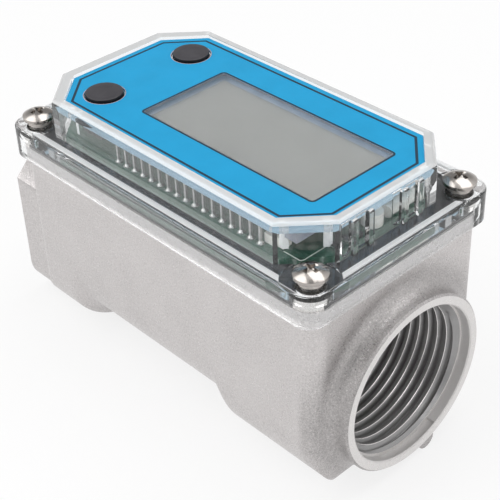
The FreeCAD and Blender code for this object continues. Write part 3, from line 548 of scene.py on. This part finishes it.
def painted_shade_mask(finish, centre, reach):
    """Painted shade: darker in the hollow round the outlet boss, on top of the inlet boss and low on the
    feet.
    """
    split = finish.add("ShaderNodeSeparateXYZ")
    finish.link(finish.place, split.inputs["Vector"])
    along = finish.combine("SUBTRACT", split.outputs["X"], centre.x)
    over_axis = finish.combine("SUBTRACT", split.outputs["Z"], centre.z)
    squares = finish.combine("ADD", finish.combine("POWER", split.outputs["Y"], 2),
                             finish.combine("POWER", over_axis, 2))
    from_axis = finish.combine("SQRT", squares, 0)
    boss_length = 9 * MM
    # painted shade in the hollow round the outlet boss
    on_outlet = finish.steps(along, reach - boss_length, reach - boss_length + 1.5 * MM, 0.0, 1.0)
    close_in = finish.steps(from_axis, reach * 0.42, reach * 0.52, 1.0, 0.0)
    hollow = finish.combine("MULTIPLY", on_outlet, close_in)
    # painted shade on top of the inlet boss
    on_inlet = finish.steps(along, boss_length - reach, boss_length + 1 * MM - reach, 1.0, 0.0)
    high_up = finish.steps(over_axis, 10 * MM, 14 * MM, 0.0, 1.3)
    inlet = finish.combine("MULTIPLY", on_inlet, high_up)
    # painted shade, darker towards the bottom of the feet
    foot = finish.steps(split.outputs["Z"], 0.0, 9 * MM, 0.5, 0.0)
    return finish.combine("MAXIMUM", inlet, finish.combine("MAXIMUM", hollow, foot))


def cast_metal(colour, grain, centre, reach):
    """Sand-blasted aluminium: sparkling fine grain, faint clouds, a few pits and painted shade."""
    finish = Finish("cast_aluminium", colour, metallic=0.85, roughness=0.4)
    sparkle = finish.noise(grain * 1.4, detail=3, roughness=0.7)
    speckle = finish.steps(sparkle, NOISE_LOW, NOISE_HIGH, 0.0, 1.0)
    clouds = finish.steps(finish.noise(9 * MM, detail=2), 0.0, 1.0, 0.12, 0.28)
    unshaded_tone = finish.combine("ADD", clouds, finish.combine("MULTIPLY", speckle, 0.4))
    # painted shade: darkens the colour round the outlet boss, on top of the inlet boss and low on the feet
    painted_darkening = finish.combine("MULTIPLY", painted_shade_mask(finish, centre, reach), 0.26)
    finish.shade_by(finish.combine("SUBTRACT", unshaded_tone, painted_darkening), (0.0, 0.55), (0.4, 1.04), (0.65, 1.16))
    finish.roughen(finish.noise(grain * 2, detail=2), 0.26, 0.52, 0.35, 0.65)
    finish.bump(finish.noise(grain, detail=4, roughness=0.7), 0.09 * MM, 0.9)
    pits = finish.steps(finish.cells(3.4 * MM), 0.0, 0.09, 0.0, 1.0)
    finish.bump(pits, 0.08 * MM, 0.6)
    return finish.material


def machined_metal(name, colour, roughness, marks_size=0.12 * MM, metallic=1.0):
    """Turned aluminium with fine tool marks round the pipe."""
    finish = Finish(name, colour, metallic, roughness)
    marks = finish.noise(marks_size, detail=2, stretch=(6, 0.4, 0.4))
    finish.mottle(marks, 0.94, 1.05)
    finish.roughen(finish.noise(2 * MM), roughness * 0.8, roughness * 1.25)
    finish.bump(marks, 0.012 * MM)
    return finish.material


def clear_plastic(name, tint, haze, roughness=0.03):
    """Clear moulded plastic that lets lamps through."""
    finish = Finish(name, tint, roughness=roughness)
    finish.set("Transmission Weight", 1.0 - haze)
    finish.set("IOR", 1.49)
    finish.bump(finish.noise(4 * MM, detail=2), 0.05 * MM, 0.10)
    finish.bump(finish.noise(0.5 * MM, detail=2), 0.004 * MM, 0.25)
    pass_through = finish.add("ShaderNodeBsdfTransparent")
    pass_through.inputs["Color"].default_value = (*scaled(tint, 0.97), 1.0)
    path = finish.add("ShaderNodeLightPath")
    finish.give_way(path.outputs["Is Shadow Ray"], pass_through.outputs["BSDF"])
    return finish.material


def moulded(name, colour, roughness, relief=0.01 * MM, gloss=0.5, glow=0.0):
    """Moulded plastic or rubber with a fine tooled grain."""
    finish = Finish(name, colour, roughness=roughness)
    finish.set("Specular IOR Level", gloss)
    if glow:
        finish.set("Emission Color", (*colour, 1.0))
        finish.set("Emission Strength", glow)
    finish.mottle(finish.noise(3 * MM), 0.9, 1.12)
    finish.roughen(finish.noise(1 * MM), roughness * 0.85, min(1.0, roughness * 1.2))
    finish.bump(finish.noise(0.15 * MM, detail=3), relief)
    return finish.material


def plated(name, colour, roughness=0.16):
    """Plated steel with faint handling marks."""
    finish = Finish(name, colour, 1.0, roughness)
    finish.mottle(finish.noise(1.5 * MM), 0.93, 1.06)
    finish.roughen(finish.noise(0.5 * MM, detail=4), roughness * 0.6, roughness * 1.6)
    finish.bump(finish.noise(0.3 * MM, detail=3), 0.006 * MM, 0.4)
    return finish.material


def drawn_steel(name, colour, roughness=0.3):
    """Drawn or pressed steel with lengthwise marks."""
    finish = Finish(name, colour, 1.0, roughness)
    marks = finish.noise(0.2 * MM, stretch=(0.15, 1, 1))
    finish.mottle(marks, 0.88, 1.06)
    finish.roughen(marks, roughness * 0.7, roughness * 1.4)
    finish.bump(marks, 0.006 * MM)
    return finish.material


def printed_film(name, colour):
    """Printed label film, faintly uneven under its gloss."""
    finish = Finish(name, colour, roughness=0.34)
    finish.set("Specular IOR Level", 0.15)
    finish.mottle(finish.noise(7 * MM, detail=2), 0.96, 1.04)
    finish.roughen(finish.noise(1.5 * MM), 0.30, 0.42)
    finish.bump(finish.noise(0.25 * MM, detail=2), 0.004 * MM)
    return finish.material


def display_film(name, colour):
    """Grey polarising film under clear gloss."""
    finish = Finish(name, colour, roughness=0.25)
    finish.mottle(finish.noise(9 * MM, detail=2), 0.97, 1.03)
    finish.set("Specular IOR Level", 0.25)
    finish.bump(finish.noise(0.2 * MM, detail=2), 0.002 * MM, 0.4)
    return finish.material


# ------------------------------------------------------------------ clear case
def case_outline():
    """Outline of the raised clear case, at its outer walls."""
    rim = rim_loops("clear_cover")[0]
    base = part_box("label_plate")[0].z
    wall = max(vert.co.x for vert in frame["nodes"]["clear_cover"].data.vertices if vert.co.z > base)
    grow = wall - max(point.x for point in rim)
    straight_on = 0.99
    return [point for point, before, after in arms(inset_loop(rim, -grow)) if before.dot(after) < straight_on]


def case_edges(settings):
    """Thin milky strips that wrap the upright edges of the clear case, as painted highlights on these edges.
    """
    outline = case_outline()
    skin = 0.03 * MM
    sunk = 0.3  # share of the skin that the strip's back lies behind the wall
    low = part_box("lcd_pins")[0].z + 0.6 * MM
    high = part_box("label_plate")[0].z - 0.4 * MM
    strips = []
    for i, corner in enumerate(outline):
        ends = []
        outward = Vector((0, 0, 0))
        for neighbour in (outline[i - 1], outline[(i + 1) % len(outline)]):
            side = neighbour - corner
            along_wall = min(abs(side.x), abs(side.y)) < 0.5 * MM
            width = settings.bar_on_wall if along_wall else settings.bar_on_corner
            ends.append(corner + side.normalized() * width)
            outward -= side.normalized()
        shift = outward.normalized() * skin
        wrap = (ends[0], corner, ends[1])
        outside = [place + shift for place in wrap]
        inside = [place - shift * sunk for place in reversed(wrap)]
        strips.append(upright(outside + inside, low, high))
    return mesh_from("case_edge_bars", strips)


# ------------------------------------------------------------------ buttons
def cap_mesh(name, foot, radius, height):
    """Raised button face with a rounded edge and a slight dish."""
    profile = [(radius, 0.0), (radius, height * 0.72), (radius - height * 0.08, height * 0.9),
               (radius - height * 0.28, height), (radius * 0.6, height * 0.96), (radius * 0.2, height * 0.93)]
    sides = 64
    crisp_angle = 40
    return sharpen(mesh_from(name, [turned(foot, profile, sides)]), crisp_angle)


# ------------------------------------------------------------------ board details
def islands(mesh):
    """Groups of faces that hang together, one for each solid."""
    place = [tuple(round(share, 6) for share in vert.co) for vert in mesh.vertices]
    root = {}

    def find(key):
        while root.setdefault(key, key) != key:
            key = root[key]
        return key

    for face in mesh.polygons:
        first = find(place[face.vertices[0]])
        for index in face.vertices[1:]:
            root[find(place[index])] = first
    groups = {}
    for face in mesh.polygons:
        groups.setdefault(find(place[face.vertices[0]]), []).append(face)
    return list(groups.values())


def corner_mark(settings, height):
    """Printed outline of a part's corner, raised by its ink."""
    (start, end), (near, far), width = settings.mark_x, settings.mark_y, settings.mark_width
    corners = [(start, near), (end, near), (end, far), (end - width, far), (end - width, near + width),
               (start, near + width)]
    ink = 0.02 * MM
    outline = [Vector((x, y, 0)) for x, y in corners]
    return mesh_from("board_mark", [upright(outline, height - ink, height + ink)])


def pin_feet():
    """Centres of the display pins where they meet the board."""
    mesh = frame["nodes"]["lcd_pins"].data
    low = min(vert.co.z for vert in mesh.vertices)
    feet = {}
    for face in mesh.polygons:
        if face.normal.z < -FLAT and face.center.z - low < 0.01 * MM:
            corners = [mesh.vertices[index].co for index in face.vertices]
            x, y = ((min(c[axis] for c in corners) + max(c[axis] for c in corners)) / 2 for axis in (0, 1))
            feet[(round(x, 5), round(y, 5))] = Vector((x, y, low))
    return list(feet.values())


def solder_mesh(settings):
    """Hollow-sided cones of solder round the pins."""
    pin_r = 0.2 * MM
    hollow = 1.7  # 1 would be a straight cone
    sides = 12
    profile = [(settings.solder_r * (1 - share) ** hollow + pin_r, settings.solder_height * share)
               for share in (0.0, 0.25, 0.6, 1.0)]
    return mesh_from("solder_joints", [turned(foot, profile, sides) for foot in pin_feet()])


# ------------------------------------------------------------------ port threads
def thread_profile(depth, root_r):
    """One pitch of ridge: (share of the pitch, radius) from root to root."""
    crest_r = root_r - depth
    root = root_r - depth * 0.11
    flank_foot = root_r - depth * 0.15
    flank_top = crest_r + depth * 0.09
    return [(0.0, root), (0.06, flank_foot), (0.31, flank_top), (0.35, crest_r), (0.65, crest_r),
            (0.69, flank_top), (0.94, flank_foot)]


def screwed_surface(shape, settings, length, root_r):
    """Sweeps the profile along a helix, a turn beyond both ends of the port."""
    profile = thread_profile(settings.depth, root_r)
    turns = math.ceil(length / settings.pitch) + 2
    rows = []
    for step in range(turns * settings.steps + 1):
        angle = 2 * math.pi * step / settings.steps
        start = -settings.pitch + settings.pitch * (step / settings.steps - 1)
        row = []
        for share, radius in profile:
            along = start + share * settings.pitch
            row.append(shape.verts.new((along, radius * math.sin(angle), radius * math.cos(angle))))
        rows.append(row)
    for step in range(len(rows) - 1):
        here, there = rows[step], rows[step + 1]
        for i in range(len(profile) - 1):
            shape.faces.new((here[i], here[i + 1], there[i + 1], there[i]))
        far = step + settings.steps
        if far + 1 < len(rows):
            shape.faces.new((here[-1], rows[far][0], rows[far + 1][0], there[-1]))


def cut_across(shape, x, drop=0):
    """Cuts a surface across the pipe, and drops its far side (1) or near side (-1)."""
    everything = shape.verts[:] + shape.edges[:] + shape.faces[:]
    bmesh.ops.bisect_plane(shape, geom=everything, plane_co=(x, 0, 0), plane_no=(drop or 1, 0, 0),
                           clear_outer=drop != 0)


def thread_mesh(name, settings, mouth_x, inner_x, root_r, axis_z):
    """Screwed ridges lining a port, cut square at both ends and bevelled at the mouth."""
    side = 1 if mouth_x > inner_x else -1
    length = abs(mouth_x - inner_x)
    bevel_slope = 1.1
    bevel = settings.depth * bevel_slope
    shape = bmesh.new()
    screwed_surface(shape, settings, length, root_r)
    cut_across(shape, 0.0, -1)
    cut_across(shape, length, 1)
    cut_across(shape, bevel * 0.5)
    cut_across(shape, bevel)
    for vert in shape.verts:
        radius = math.hypot(vert.co.y, vert.co.z)
        least = root_r - max(0.0, vert.co.x) / bevel_slope
        if vert.co.x < bevel and radius < least:
            vert.co.y *= least / radius
            vert.co.z *= least / radius
    for vert in shape.verts:
        vert.co = Vector((mouth_x - side * vert.co.x, -side * vert.co.y, axis_z + vert.co.z))
    bmesh.ops.recalc_face_normals(shape, faces=shape.faces)
    mesh = bpy.data.meshes.new(name)
    shape.to_mesh(mesh)
    shape.free()
    face = mesh.polygons[0]
    outward = Vector((0, face.center.y, face.center.z - axis_z))
    if outward.dot(face.normal) > 0:
        mesh.flip_normals()
    crisp_angle = 28
    return sharpen(mesh, crisp_angle)


def paint_crest_highlight(piece, crest_r, axis_z):
    """Gives the rounded edges of the crests the second material, their painted highlight."""
    for face in piece.data.polygons:
        places = [piece.data.vertices[index].co for index in face.vertices]
        radii = [math.hypot(place.y, place.z - axis_z) for place in places]
        on_crest = min(radii) < crest_r + 0.02 * MM
        sloped = max(radii) - min(radii) > 0.01 * MM
        low_edge = max(radii) < crest_r + 0.2 * MM
        face.material_index = 1 if on_crest and sloped and low_edge else 0


# ------------------------------------------------------------------ operators
class FLOWMETER_OT_casting(bpy.types.Operator):
    """Finish the cast body: blasted skin outside, turned metal in the ports."""

    bl_idname = "flowmeter.casting"
    bl_label = "Cast body"

    def execute(self, context):
        settings = context.scene.flowmeter_casting
        low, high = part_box("body_casting")
        port = mount("outlet_port")
        axis_z = port["pos_m"][2]
        bore_r = port["dims"]["r_mm"] * MM
        bore_slack = 1.03
        centre = Vector(((low.x + high.x) / 2, 0, axis_z))
        # the skin's colour carries painted shade round the outlet boss, on top of the inlet boss and low on
        # the feet
        skin = cast_metal(settings.colour, settings.grain, centre, (high.x - low.x) / 2)
        bore = machined_metal("turned_aluminium", settings.machined_colour, 0.3)
        mouth = machined_metal("turned_mouth", settings.machined_colour, 0.42, metallic=0.15)
        piece = dress("body_casting", skin, bore, mouth)
        for face in piece.data.polygons:
            reach = math.hypot(face.center.y, face.center.z - axis_z)
            from_end = min(face.center.x - low.x, high.x - face.center.x)
            on_end = from_end < ON_FACE
            in_bore = reach < bore_r * bore_slack and face.center.z < axis_z + bore_r
            in_mouth = from_end < settings.mouth_depth and reach < bore_r + settings.mouth_wall
            face.material_index = 2 if in_mouth and not on_end else (1 if on_end or in_bore else 0)
        return {"FINISHED"}


class FLOWMETER_OT_threads(bpy.types.Operator):
    """Cut the pipe threads into both ports."""

    bl_idname = "flowmeter.threads"
    bl_label = "Port threads"

    def execute(self, context):
        settings = context.scene.flowmeter_threads
        # painted reflection: flanks darkened for the dark surroundings they mirror, crest edges lighter for
        # the highlight they catch
        flank_dark_reflection = machined_metal("flank_painted_dark_reflection", settings.colour, 0.36, 0.08 * MM, metallic=0.6)
        crest = machined_metal("crest_painted_highlight", settings.crest_highlight_colour, 0.26, 0.08 * MM)
        for end in ("outlet", "inlet"):
            port = mount(end + "_port")
            mouth_x, _, axis_z = port["pos_m"]
            inner_x = mouth_x - port["axis"][0] * port["dims"]["length_mm"] * MM
            root_r = port["dims"]["r_mm"] * MM
            mesh = thread_mesh(end + "_thread", settings, mouth_x, inner_x, root_r, axis_z)
            piece = add_piece(end + "_thread", mesh, "body_casting", [flank_dark_reflection, crest])
            paint_crest_highlight(piece, root_r - settings.depth, axis_z)
        return {"FINISHED"}


class FLOWMETER_OT_cover(bpy.types.Operator):
    """Clear cover with its gasket and ferrules."""

    bl_idname = "flowmeter.cover"
    bl_label = "Clear cover and gasket"

    def execute(self, context):
        settings = context.scene.flowmeter_cover
        clear = clear_plastic("clear_polycarbonate", settings.tint, settings.haze)
        frosted = clear_plastic("frosted_polycarbonate", settings.tint, settings.frost, 0.3)
        milky = clear_plastic("milky_rim", settings.tint, settings.frost, 0.08)
        cover = dress("clear_cover", clear, frosted, milky)
        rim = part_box("label_plate")[0].z + 0.1 * MM
        overhang = 1 * MM
        zone = 0.5 * MM
        low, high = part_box("gasket")
        for face in cover.data.polygons:
            over_bead = face.center.z - high.z - settings.bead_height
            if past_box(face.center, low, high) > -overhang and 0 < over_bead < zone:
                face.material_index = 1
            elif face.center.z > rim and face.normal.z > SLANTED:
                face.material_index = 2
        # painted highlight: milky strips on the upright edges of the clear case
        add_piece("case_edge_bars", case_edges(settings), "clear_cover", [milky],
                  smooth=False)
        offset("gasket", -settings.film_of_air)
        dress("gasket", moulded("gasket_rubber", settings.gasket_colour, 0.6, gloss=0.1))
        dress("screw_ferrules", plated("ferrule_metal", (0.70, 0.68, 0.66), 0.25))
        return {"FINISHED"}


class FLOWMETER_OT_screws(bpy.types.Operator):
    """Cover screws and washers."""

    bl_idname = "flowmeter.screws"
    bl_label = "Cover screws"

    def execute(self, context):
        settings = context.scene.flowmeter_screws
        dress("cover_screws", plated("nickel_plate", settings.colour))
        dress("screw_washers", drawn_steel("washer_metal", scaled(settings.colour, 1.6), 0.38))
        return {"FINISHED"}


class FLOWMETER_OT_label(bpy.types.Operator):
    """Blue label and its printed lines."""

    bl_idname = "flowmeter.label"
    bl_label = "Label"

    def execute(self, context):
        settings = context.scene.flowmeter_label
        film = printed_film("blue_film", settings.colour)
        # painted light: the label's underside glows, standing in for light shining through the film
        painted_glow_back = moulded("film_back_painted_glow", settings.back_glow_colour, 0.5, glow=0.35)
        cut = moulded("cut_edge", settings.cut_colour, 0.5)
        label = dress("label_plate", film, painted_glow_back, cut)
        low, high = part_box("lcd_film")
        window_margin = 2 * MM
        for face in label.data.polygons:
            if face.normal.z < -SLANTED:
                face.material_index = 1
            elif face.normal.z < SLANTED and past_box(face.center, low, high) < window_margin:
                face.material_index = 2
        ink_height = settings.line_height
        offset("label_plate", ink_height)
        ink = moulded("printed_ink", settings.line_colour, 0.35)
        # painted highlight round the button holes
        rim = moulded("painted_rim_highlight", settings.rim_highlight_colour, 0.4)
        outline, window, *holes = rim_loops("label_plate")
        half = settings.line_width / 2
        at_window = 0.02 * MM
        lines = [("label_border", outline, settings.line_inset - half, settings.line_inset + half, ink),
                 ("window_border", window, at_window, at_window + settings.line_width * 0.8, ink)]
        # each button hole gets a thin line of painted highlight round its edge
        for name, hole in zip(("first", "second"), holes):
            lines.append((name + "_hole_rim_highlight", hole, 0.0, settings.rim_width, rim))
        for name, loop, near, far, material in lines:
            line = line_mesh(name, loop, near, far, ink_height)
            add_piece(name, line, "label_plate", [material], smooth=False)
        return {"FINISHED"}


class FLOWMETER_OT_buttons(bpy.types.Operator):
    """Both push buttons and their raised faces."""

    bl_idname = "flowmeter.buttons"
    bl_label = "Buttons"

    def execute(self, context):
        settings = context.scene.flowmeter_label
        face_rubber = moulded("button_rubber", settings.button_colour, 0.35, gloss=0.25)
        # painted shade: the cap sides and the button bodies are the face rubber at 0.15 of its colour
        shaded_side_rubber = moulded("button_side_painted_shade", scaled(settings.button_colour, 0.15), 0.4, gloss=0.2)
        for name in ("calibrate", "display"):
            button = name + "_button"
            dress(button, shaded_side_rubber)
            low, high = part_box(button)
            foot = Vector(((low.x + high.x) / 2, (low.y + high.y) / 2, high.z - settings.cap_overlap))
            mesh = cap_mesh(name + "_cap", foot, settings.cap_r, settings.cap_height)
            add_piece(name + "_cap", mesh, button, [face_rubber, shaded_side_rubber])
            for face in mesh.polygons:
                # faces that look up keep the face rubber, the others take the painted shade
                face.material_index = 0 if face.normal.z > SLANTED else 1
        return {"FINISHED"}


class FLOWMETER_OT_electronics(bpy.types.Operator):
    """Display, circuit board, switches, cells and pickup coil."""

    bl_idname = "flowmeter.electronics"
    bl_label = "Display and electronics"

    def execute(self, context):
        settings = context.scene.flowmeter_display
        black = moulded("black_moulding", (0.02, 0.02, 0.022), 0.4)
        steel = drawn_steel("tinned_steel", (0.70, 0.70, 0.70), 0.25)
        copper = drawn_steel("copper_wire", (0.60, 0.25, 0.12), 0.3)
        finishes = {
            "circuit_board": moulded("green_board", settings.board_colour, 0.3),
            "lcd_glass": moulded("display_face", settings.glass_colour, 0.12, relief=0.002 * MM),
            "lcd_film": display_film("display_film", settings.film_colour),
            "lcd_pins": drawn_steel("dull_pins", (0.45, 0.45, 0.45), 0.35),
            "board_socket": moulded("socket_nylon", (0.72, 0.71, 0.66), 0.4),
            "battery_cells": moulded("cell_jacket", (0.05, 0.055, 0.07), 0.25),
        }
        for material, nodes in ((black, BLACK_MOULDINGS), (steel, TINNED_PARTS), (copper, COPPER_PARTS)):
            finishes.update(dict.fromkeys(nodes, material))
        for node, material in finishes.items():
            dress(node, material)
        self.finish_chips(settings, black, steel)
        solder = plated("solder", (0.55, 0.55, 0.54), 0.3)
        add_piece("solder_joints", solder_mesh(settings), "lcd_pins", [solder])
        board_ink = moulded("board_print", (0.62, 0.66, 0.60), 0.5)
        mark = corner_mark(settings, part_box("circuit_board")[1].z)
        add_piece("board_mark", mark, "circuit_board", [board_ink], smooth=False)
        return {"FINISHED"}

    def finish_chips(self, settings, black, steel):
        """The tallest board parts are white; the chips are black with tinned ends."""
        white = moulded("white_case", (0.62, 0.62, 0.58), 0.4)
        parts = dress("board_components", white, black, steel)
        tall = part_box("board_components")[1].z - settings.chip_drop
        for island in islands(parts.data):
            top = max(parts.data.vertices[index].co.z for face in island for index in face.vertices)
            for face in island:
                tinned_end = abs(face.normal.y) > FLAT
                face.material_index = 0 if top > tall else (2 if tinned_end else 1)


class FLOWMETER_OT_turbine(bpy.types.Operator):
    """Rotor, bearings, flow straighteners and retaining rings."""

    bl_idname = "flowmeter.turbine"
    bl_label = "Turbine cartridge"

    def execute(self, context):
        white = moulded("white_nylon", (0.68, 0.68, 0.66), 0.4)
        steel = drawn_steel("spring_steel", (0.52, 0.52, 0.53), 0.28)
        for side in ("outlet", "inlet"):
            dress(side + "_flow_straightener", white)
            dress(side + "_bearing", moulded("bush_ceramic_" + side, (0.6, 0.58, 0.52), 0.2))
            dress(side + "_retaining_ring", steel)
        dress("turbine_rotor", white)
        dress("rotor_shaft", steel)
        dress("rotor_magnets", steel)
        return {"FINISHED"}


class FLOWMETER_OT_stage(bpy.types.Operator):
    """Floor, lamps, backdrop and camera."""

    bl_idname = "flowmeter.stage"
    bl_label = "Stage"

    def execute(self, context):
        settings = context.scene.flowmeter_stage
        low, high = CAD_BOX
        centre = (low + high) / 2
        add_floor(settings, low.z)
        add_backdrop(settings, context.scene)
        for name, place, size, power in LAMPS:
            add_lamp(name, centre + Vector(place), centre, size, power)
        add_camera(settings, centre)
        context.scene.view_settings.view_transform = "Standard"
        return {"FINISHED"}


# ------------------------------------------------------------------ stage
def camera_side(settings):
    """Unit vector from the meter to the camera."""
    flat = math.cos(settings.elevation)
    return Vector((math.sin(settings.azimuth) * flat, -math.cos(settings.azimuth) * flat,
                   math.sin(settings.elevation)))


def add_floor(settings, height):
    """Pale floor that keeps the meter's shadow."""
    signs = ((-1, -1), (1, -1), (1, 1), (-1, 1))
    corners = [(x * FLOOR_REACH, y * FLOOR_REACH, height) for x, y in signs]
    mesh = mesh_from("floor", [(corners, [(0, 1, 2, 3)])])
    floor = bpy.data.objects.new("floor", mesh)
    bpy.context.scene.collection.objects.link(floor)
    finish = Finish("pale_floor", settings.floor_colour, roughness=0.9)
    white = finish.add("ShaderNodeEmission")
    white.inputs["Strength"].default_value = 1.0
    share = finish.combine("MULTIPLY", finish.seen_directly(), FLOOR_WHITE)
    finish.give_way(share, white.outputs["Emission"])
    mesh.materials.append(finish.material)


def card(sky, direction, edge, shade):
    """Brightness of the surroundings with a soft dark card in one direction."""
    towards = sky.add("ShaderNodeVectorMath", operation="DOT_PRODUCT")
    sky.link(sky.add("ShaderNodeTexCoord").outputs["Generated"], towards.inputs[0])
    towards.inputs[1].default_value = direction
    return sky.steps(towards.outputs["Value"], edge, CARD_MIDDLE, 1.0, shade, interpolation_type="SMOOTHSTEP")


def add_backdrop(settings, scene):
    """White surroundings, softer as a light than they look; gloss also sees two dark cards."""
    world = bpy.data.worlds.new("studio")
    scene.world = world
    world.use_nodes = True
    sky = Nodes(world.node_tree)
    near = camera_side(settings)
    beyond = Vector((-near.x, -near.y, near.z))
    near_card = card(sky, near, settings.card_edge, settings.card_shade)
    far_card = card(sky, beyond, settings.far_edge, settings.far_shade)
    path = sky.add("ShaderNodeLightPath").outputs
    through_glass = sky.combine("MAXIMUM", near_card, path["Is Transmission Ray"])
    cards = sky.combine("MULTIPLY", through_glass, far_card)
    looks = sky.combine("MAXIMUM", cards, path["Is Camera Ray"])
    background = world.node_tree.nodes["Background"]
    background.inputs["Color"].default_value = (1, 1, 1, 1)
    sky.link(sky.steps(sky.seen_directly(), 0.0, 1.0, ROOM_LIGHT, looks), background.inputs["Strength"])


def add_lamp(name, place, target, size, power):
    """Soft square lamp that faces the meter."""
    data = bpy.data.lights.new(name, "AREA")
    data.shape = "SQUARE"
    data.size = size
    data.energy = power
    lamp = bpy.data.objects.new(name, data)
    lamp.location = place
    lamp.rotation_euler = (target - place).to_track_quat("-Z", "Y").to_euler()
    bpy.context.scene.collection.objects.link(lamp)


def add_camera(settings, centre):
    """Camera set by its turn, height, tilt and distance."""
    data = bpy.data.cameras.new("camera")
    data.lens = settings.lens
    data.sensor_width = 36.0
    data.clip_start = 0.01
    data.clip_end = 20.0
    camera = bpy.data.objects.new("camera", data)
    back = camera_side(settings)
    right = (-back).cross(Vector((0, 0, 1))).normalized()
    up = right.cross(-back)
    turn = settings.roll
    right_rolled = right * math.cos(turn) + up * math.sin(turn)
    up_rolled = up * math.cos(turn) - right * math.sin(turn)
    pose = Matrix((right_rolled, up_rolled, back)).transposed().to_4x4()
    pose.translation = centre + Vector(settings.aim) + back * settings.distance
    camera.matrix_world = pose
    bpy.context.scene.collection.objects.link(camera)
    bpy.context.scene.camera = camera


# ------------------------------------------------------------------ add-on
class FLOWMETER_PT_panel(bpy.types.Panel):
    """Lists the meter's operators in the sidebar."""

    bl_idname = "FLOWMETER_PT_panel"
    bl_label = "Turbine flow meter"
    bl_space_type = "VIEW_3D"
    bl_region_type = "UI"
    bl_category = "Flow Meter"

    def draw(self, context):
        for operator in OPERATORS:
            self.layout.operator(operator.bl_idname)


GROUPS = {
    "flowmeter_casting": CastingSettings,
    "flowmeter_threads": ThreadSettings,
    "flowmeter_cover": CoverSettings,
    "flowmeter_screws": ScrewSettings,
    "flowmeter_label": LabelSettings,
    "flowmeter_display": DisplaySettings,
    "flowmeter_stage": StageSettings,
}
OPERATORS = (
    FLOWMETER_OT_casting,
    FLOWMETER_OT_threads,
    FLOWMETER_OT_cover,
    FLOWMETER_OT_screws,
    FLOWMETER_OT_label,
    FLOWMETER_OT_buttons,
    FLOWMETER_OT_electronics,
    FLOWMETER_OT_turbine,
    FLOWMETER_OT_stage,
)
CLASSES = (*GROUPS.values(), *OPERATORS, FLOWMETER_PT_panel)


def register():
    for item in CLASSES:
        bpy.utils.register_class(item)
    for name, group in GROUPS.items():
        setattr(bpy.types.Scene, name, PointerProperty(type=group))


def unregister():
    for name in GROUPS:
        delattr(bpy.types.Scene, name)
    for item in reversed(CLASSES):
        bpy.utils.unregister_class(item)


def main():
    """Builds the meter."""
    register()
    bpy.ops.flowmeter.casting()
    bpy.ops.flowmeter.threads()
    bpy.ops.flowmeter.cover()
    bpy.ops.flowmeter.screws()
    bpy.ops.flowmeter.label()
    bpy.ops.flowmeter.buttons()
    bpy.ops.flowmeter.electronics()
    bpy.ops.flowmeter.turbine()
    bpy.ops.flowmeter.stage()


if __name__ == "__main__":
    main()
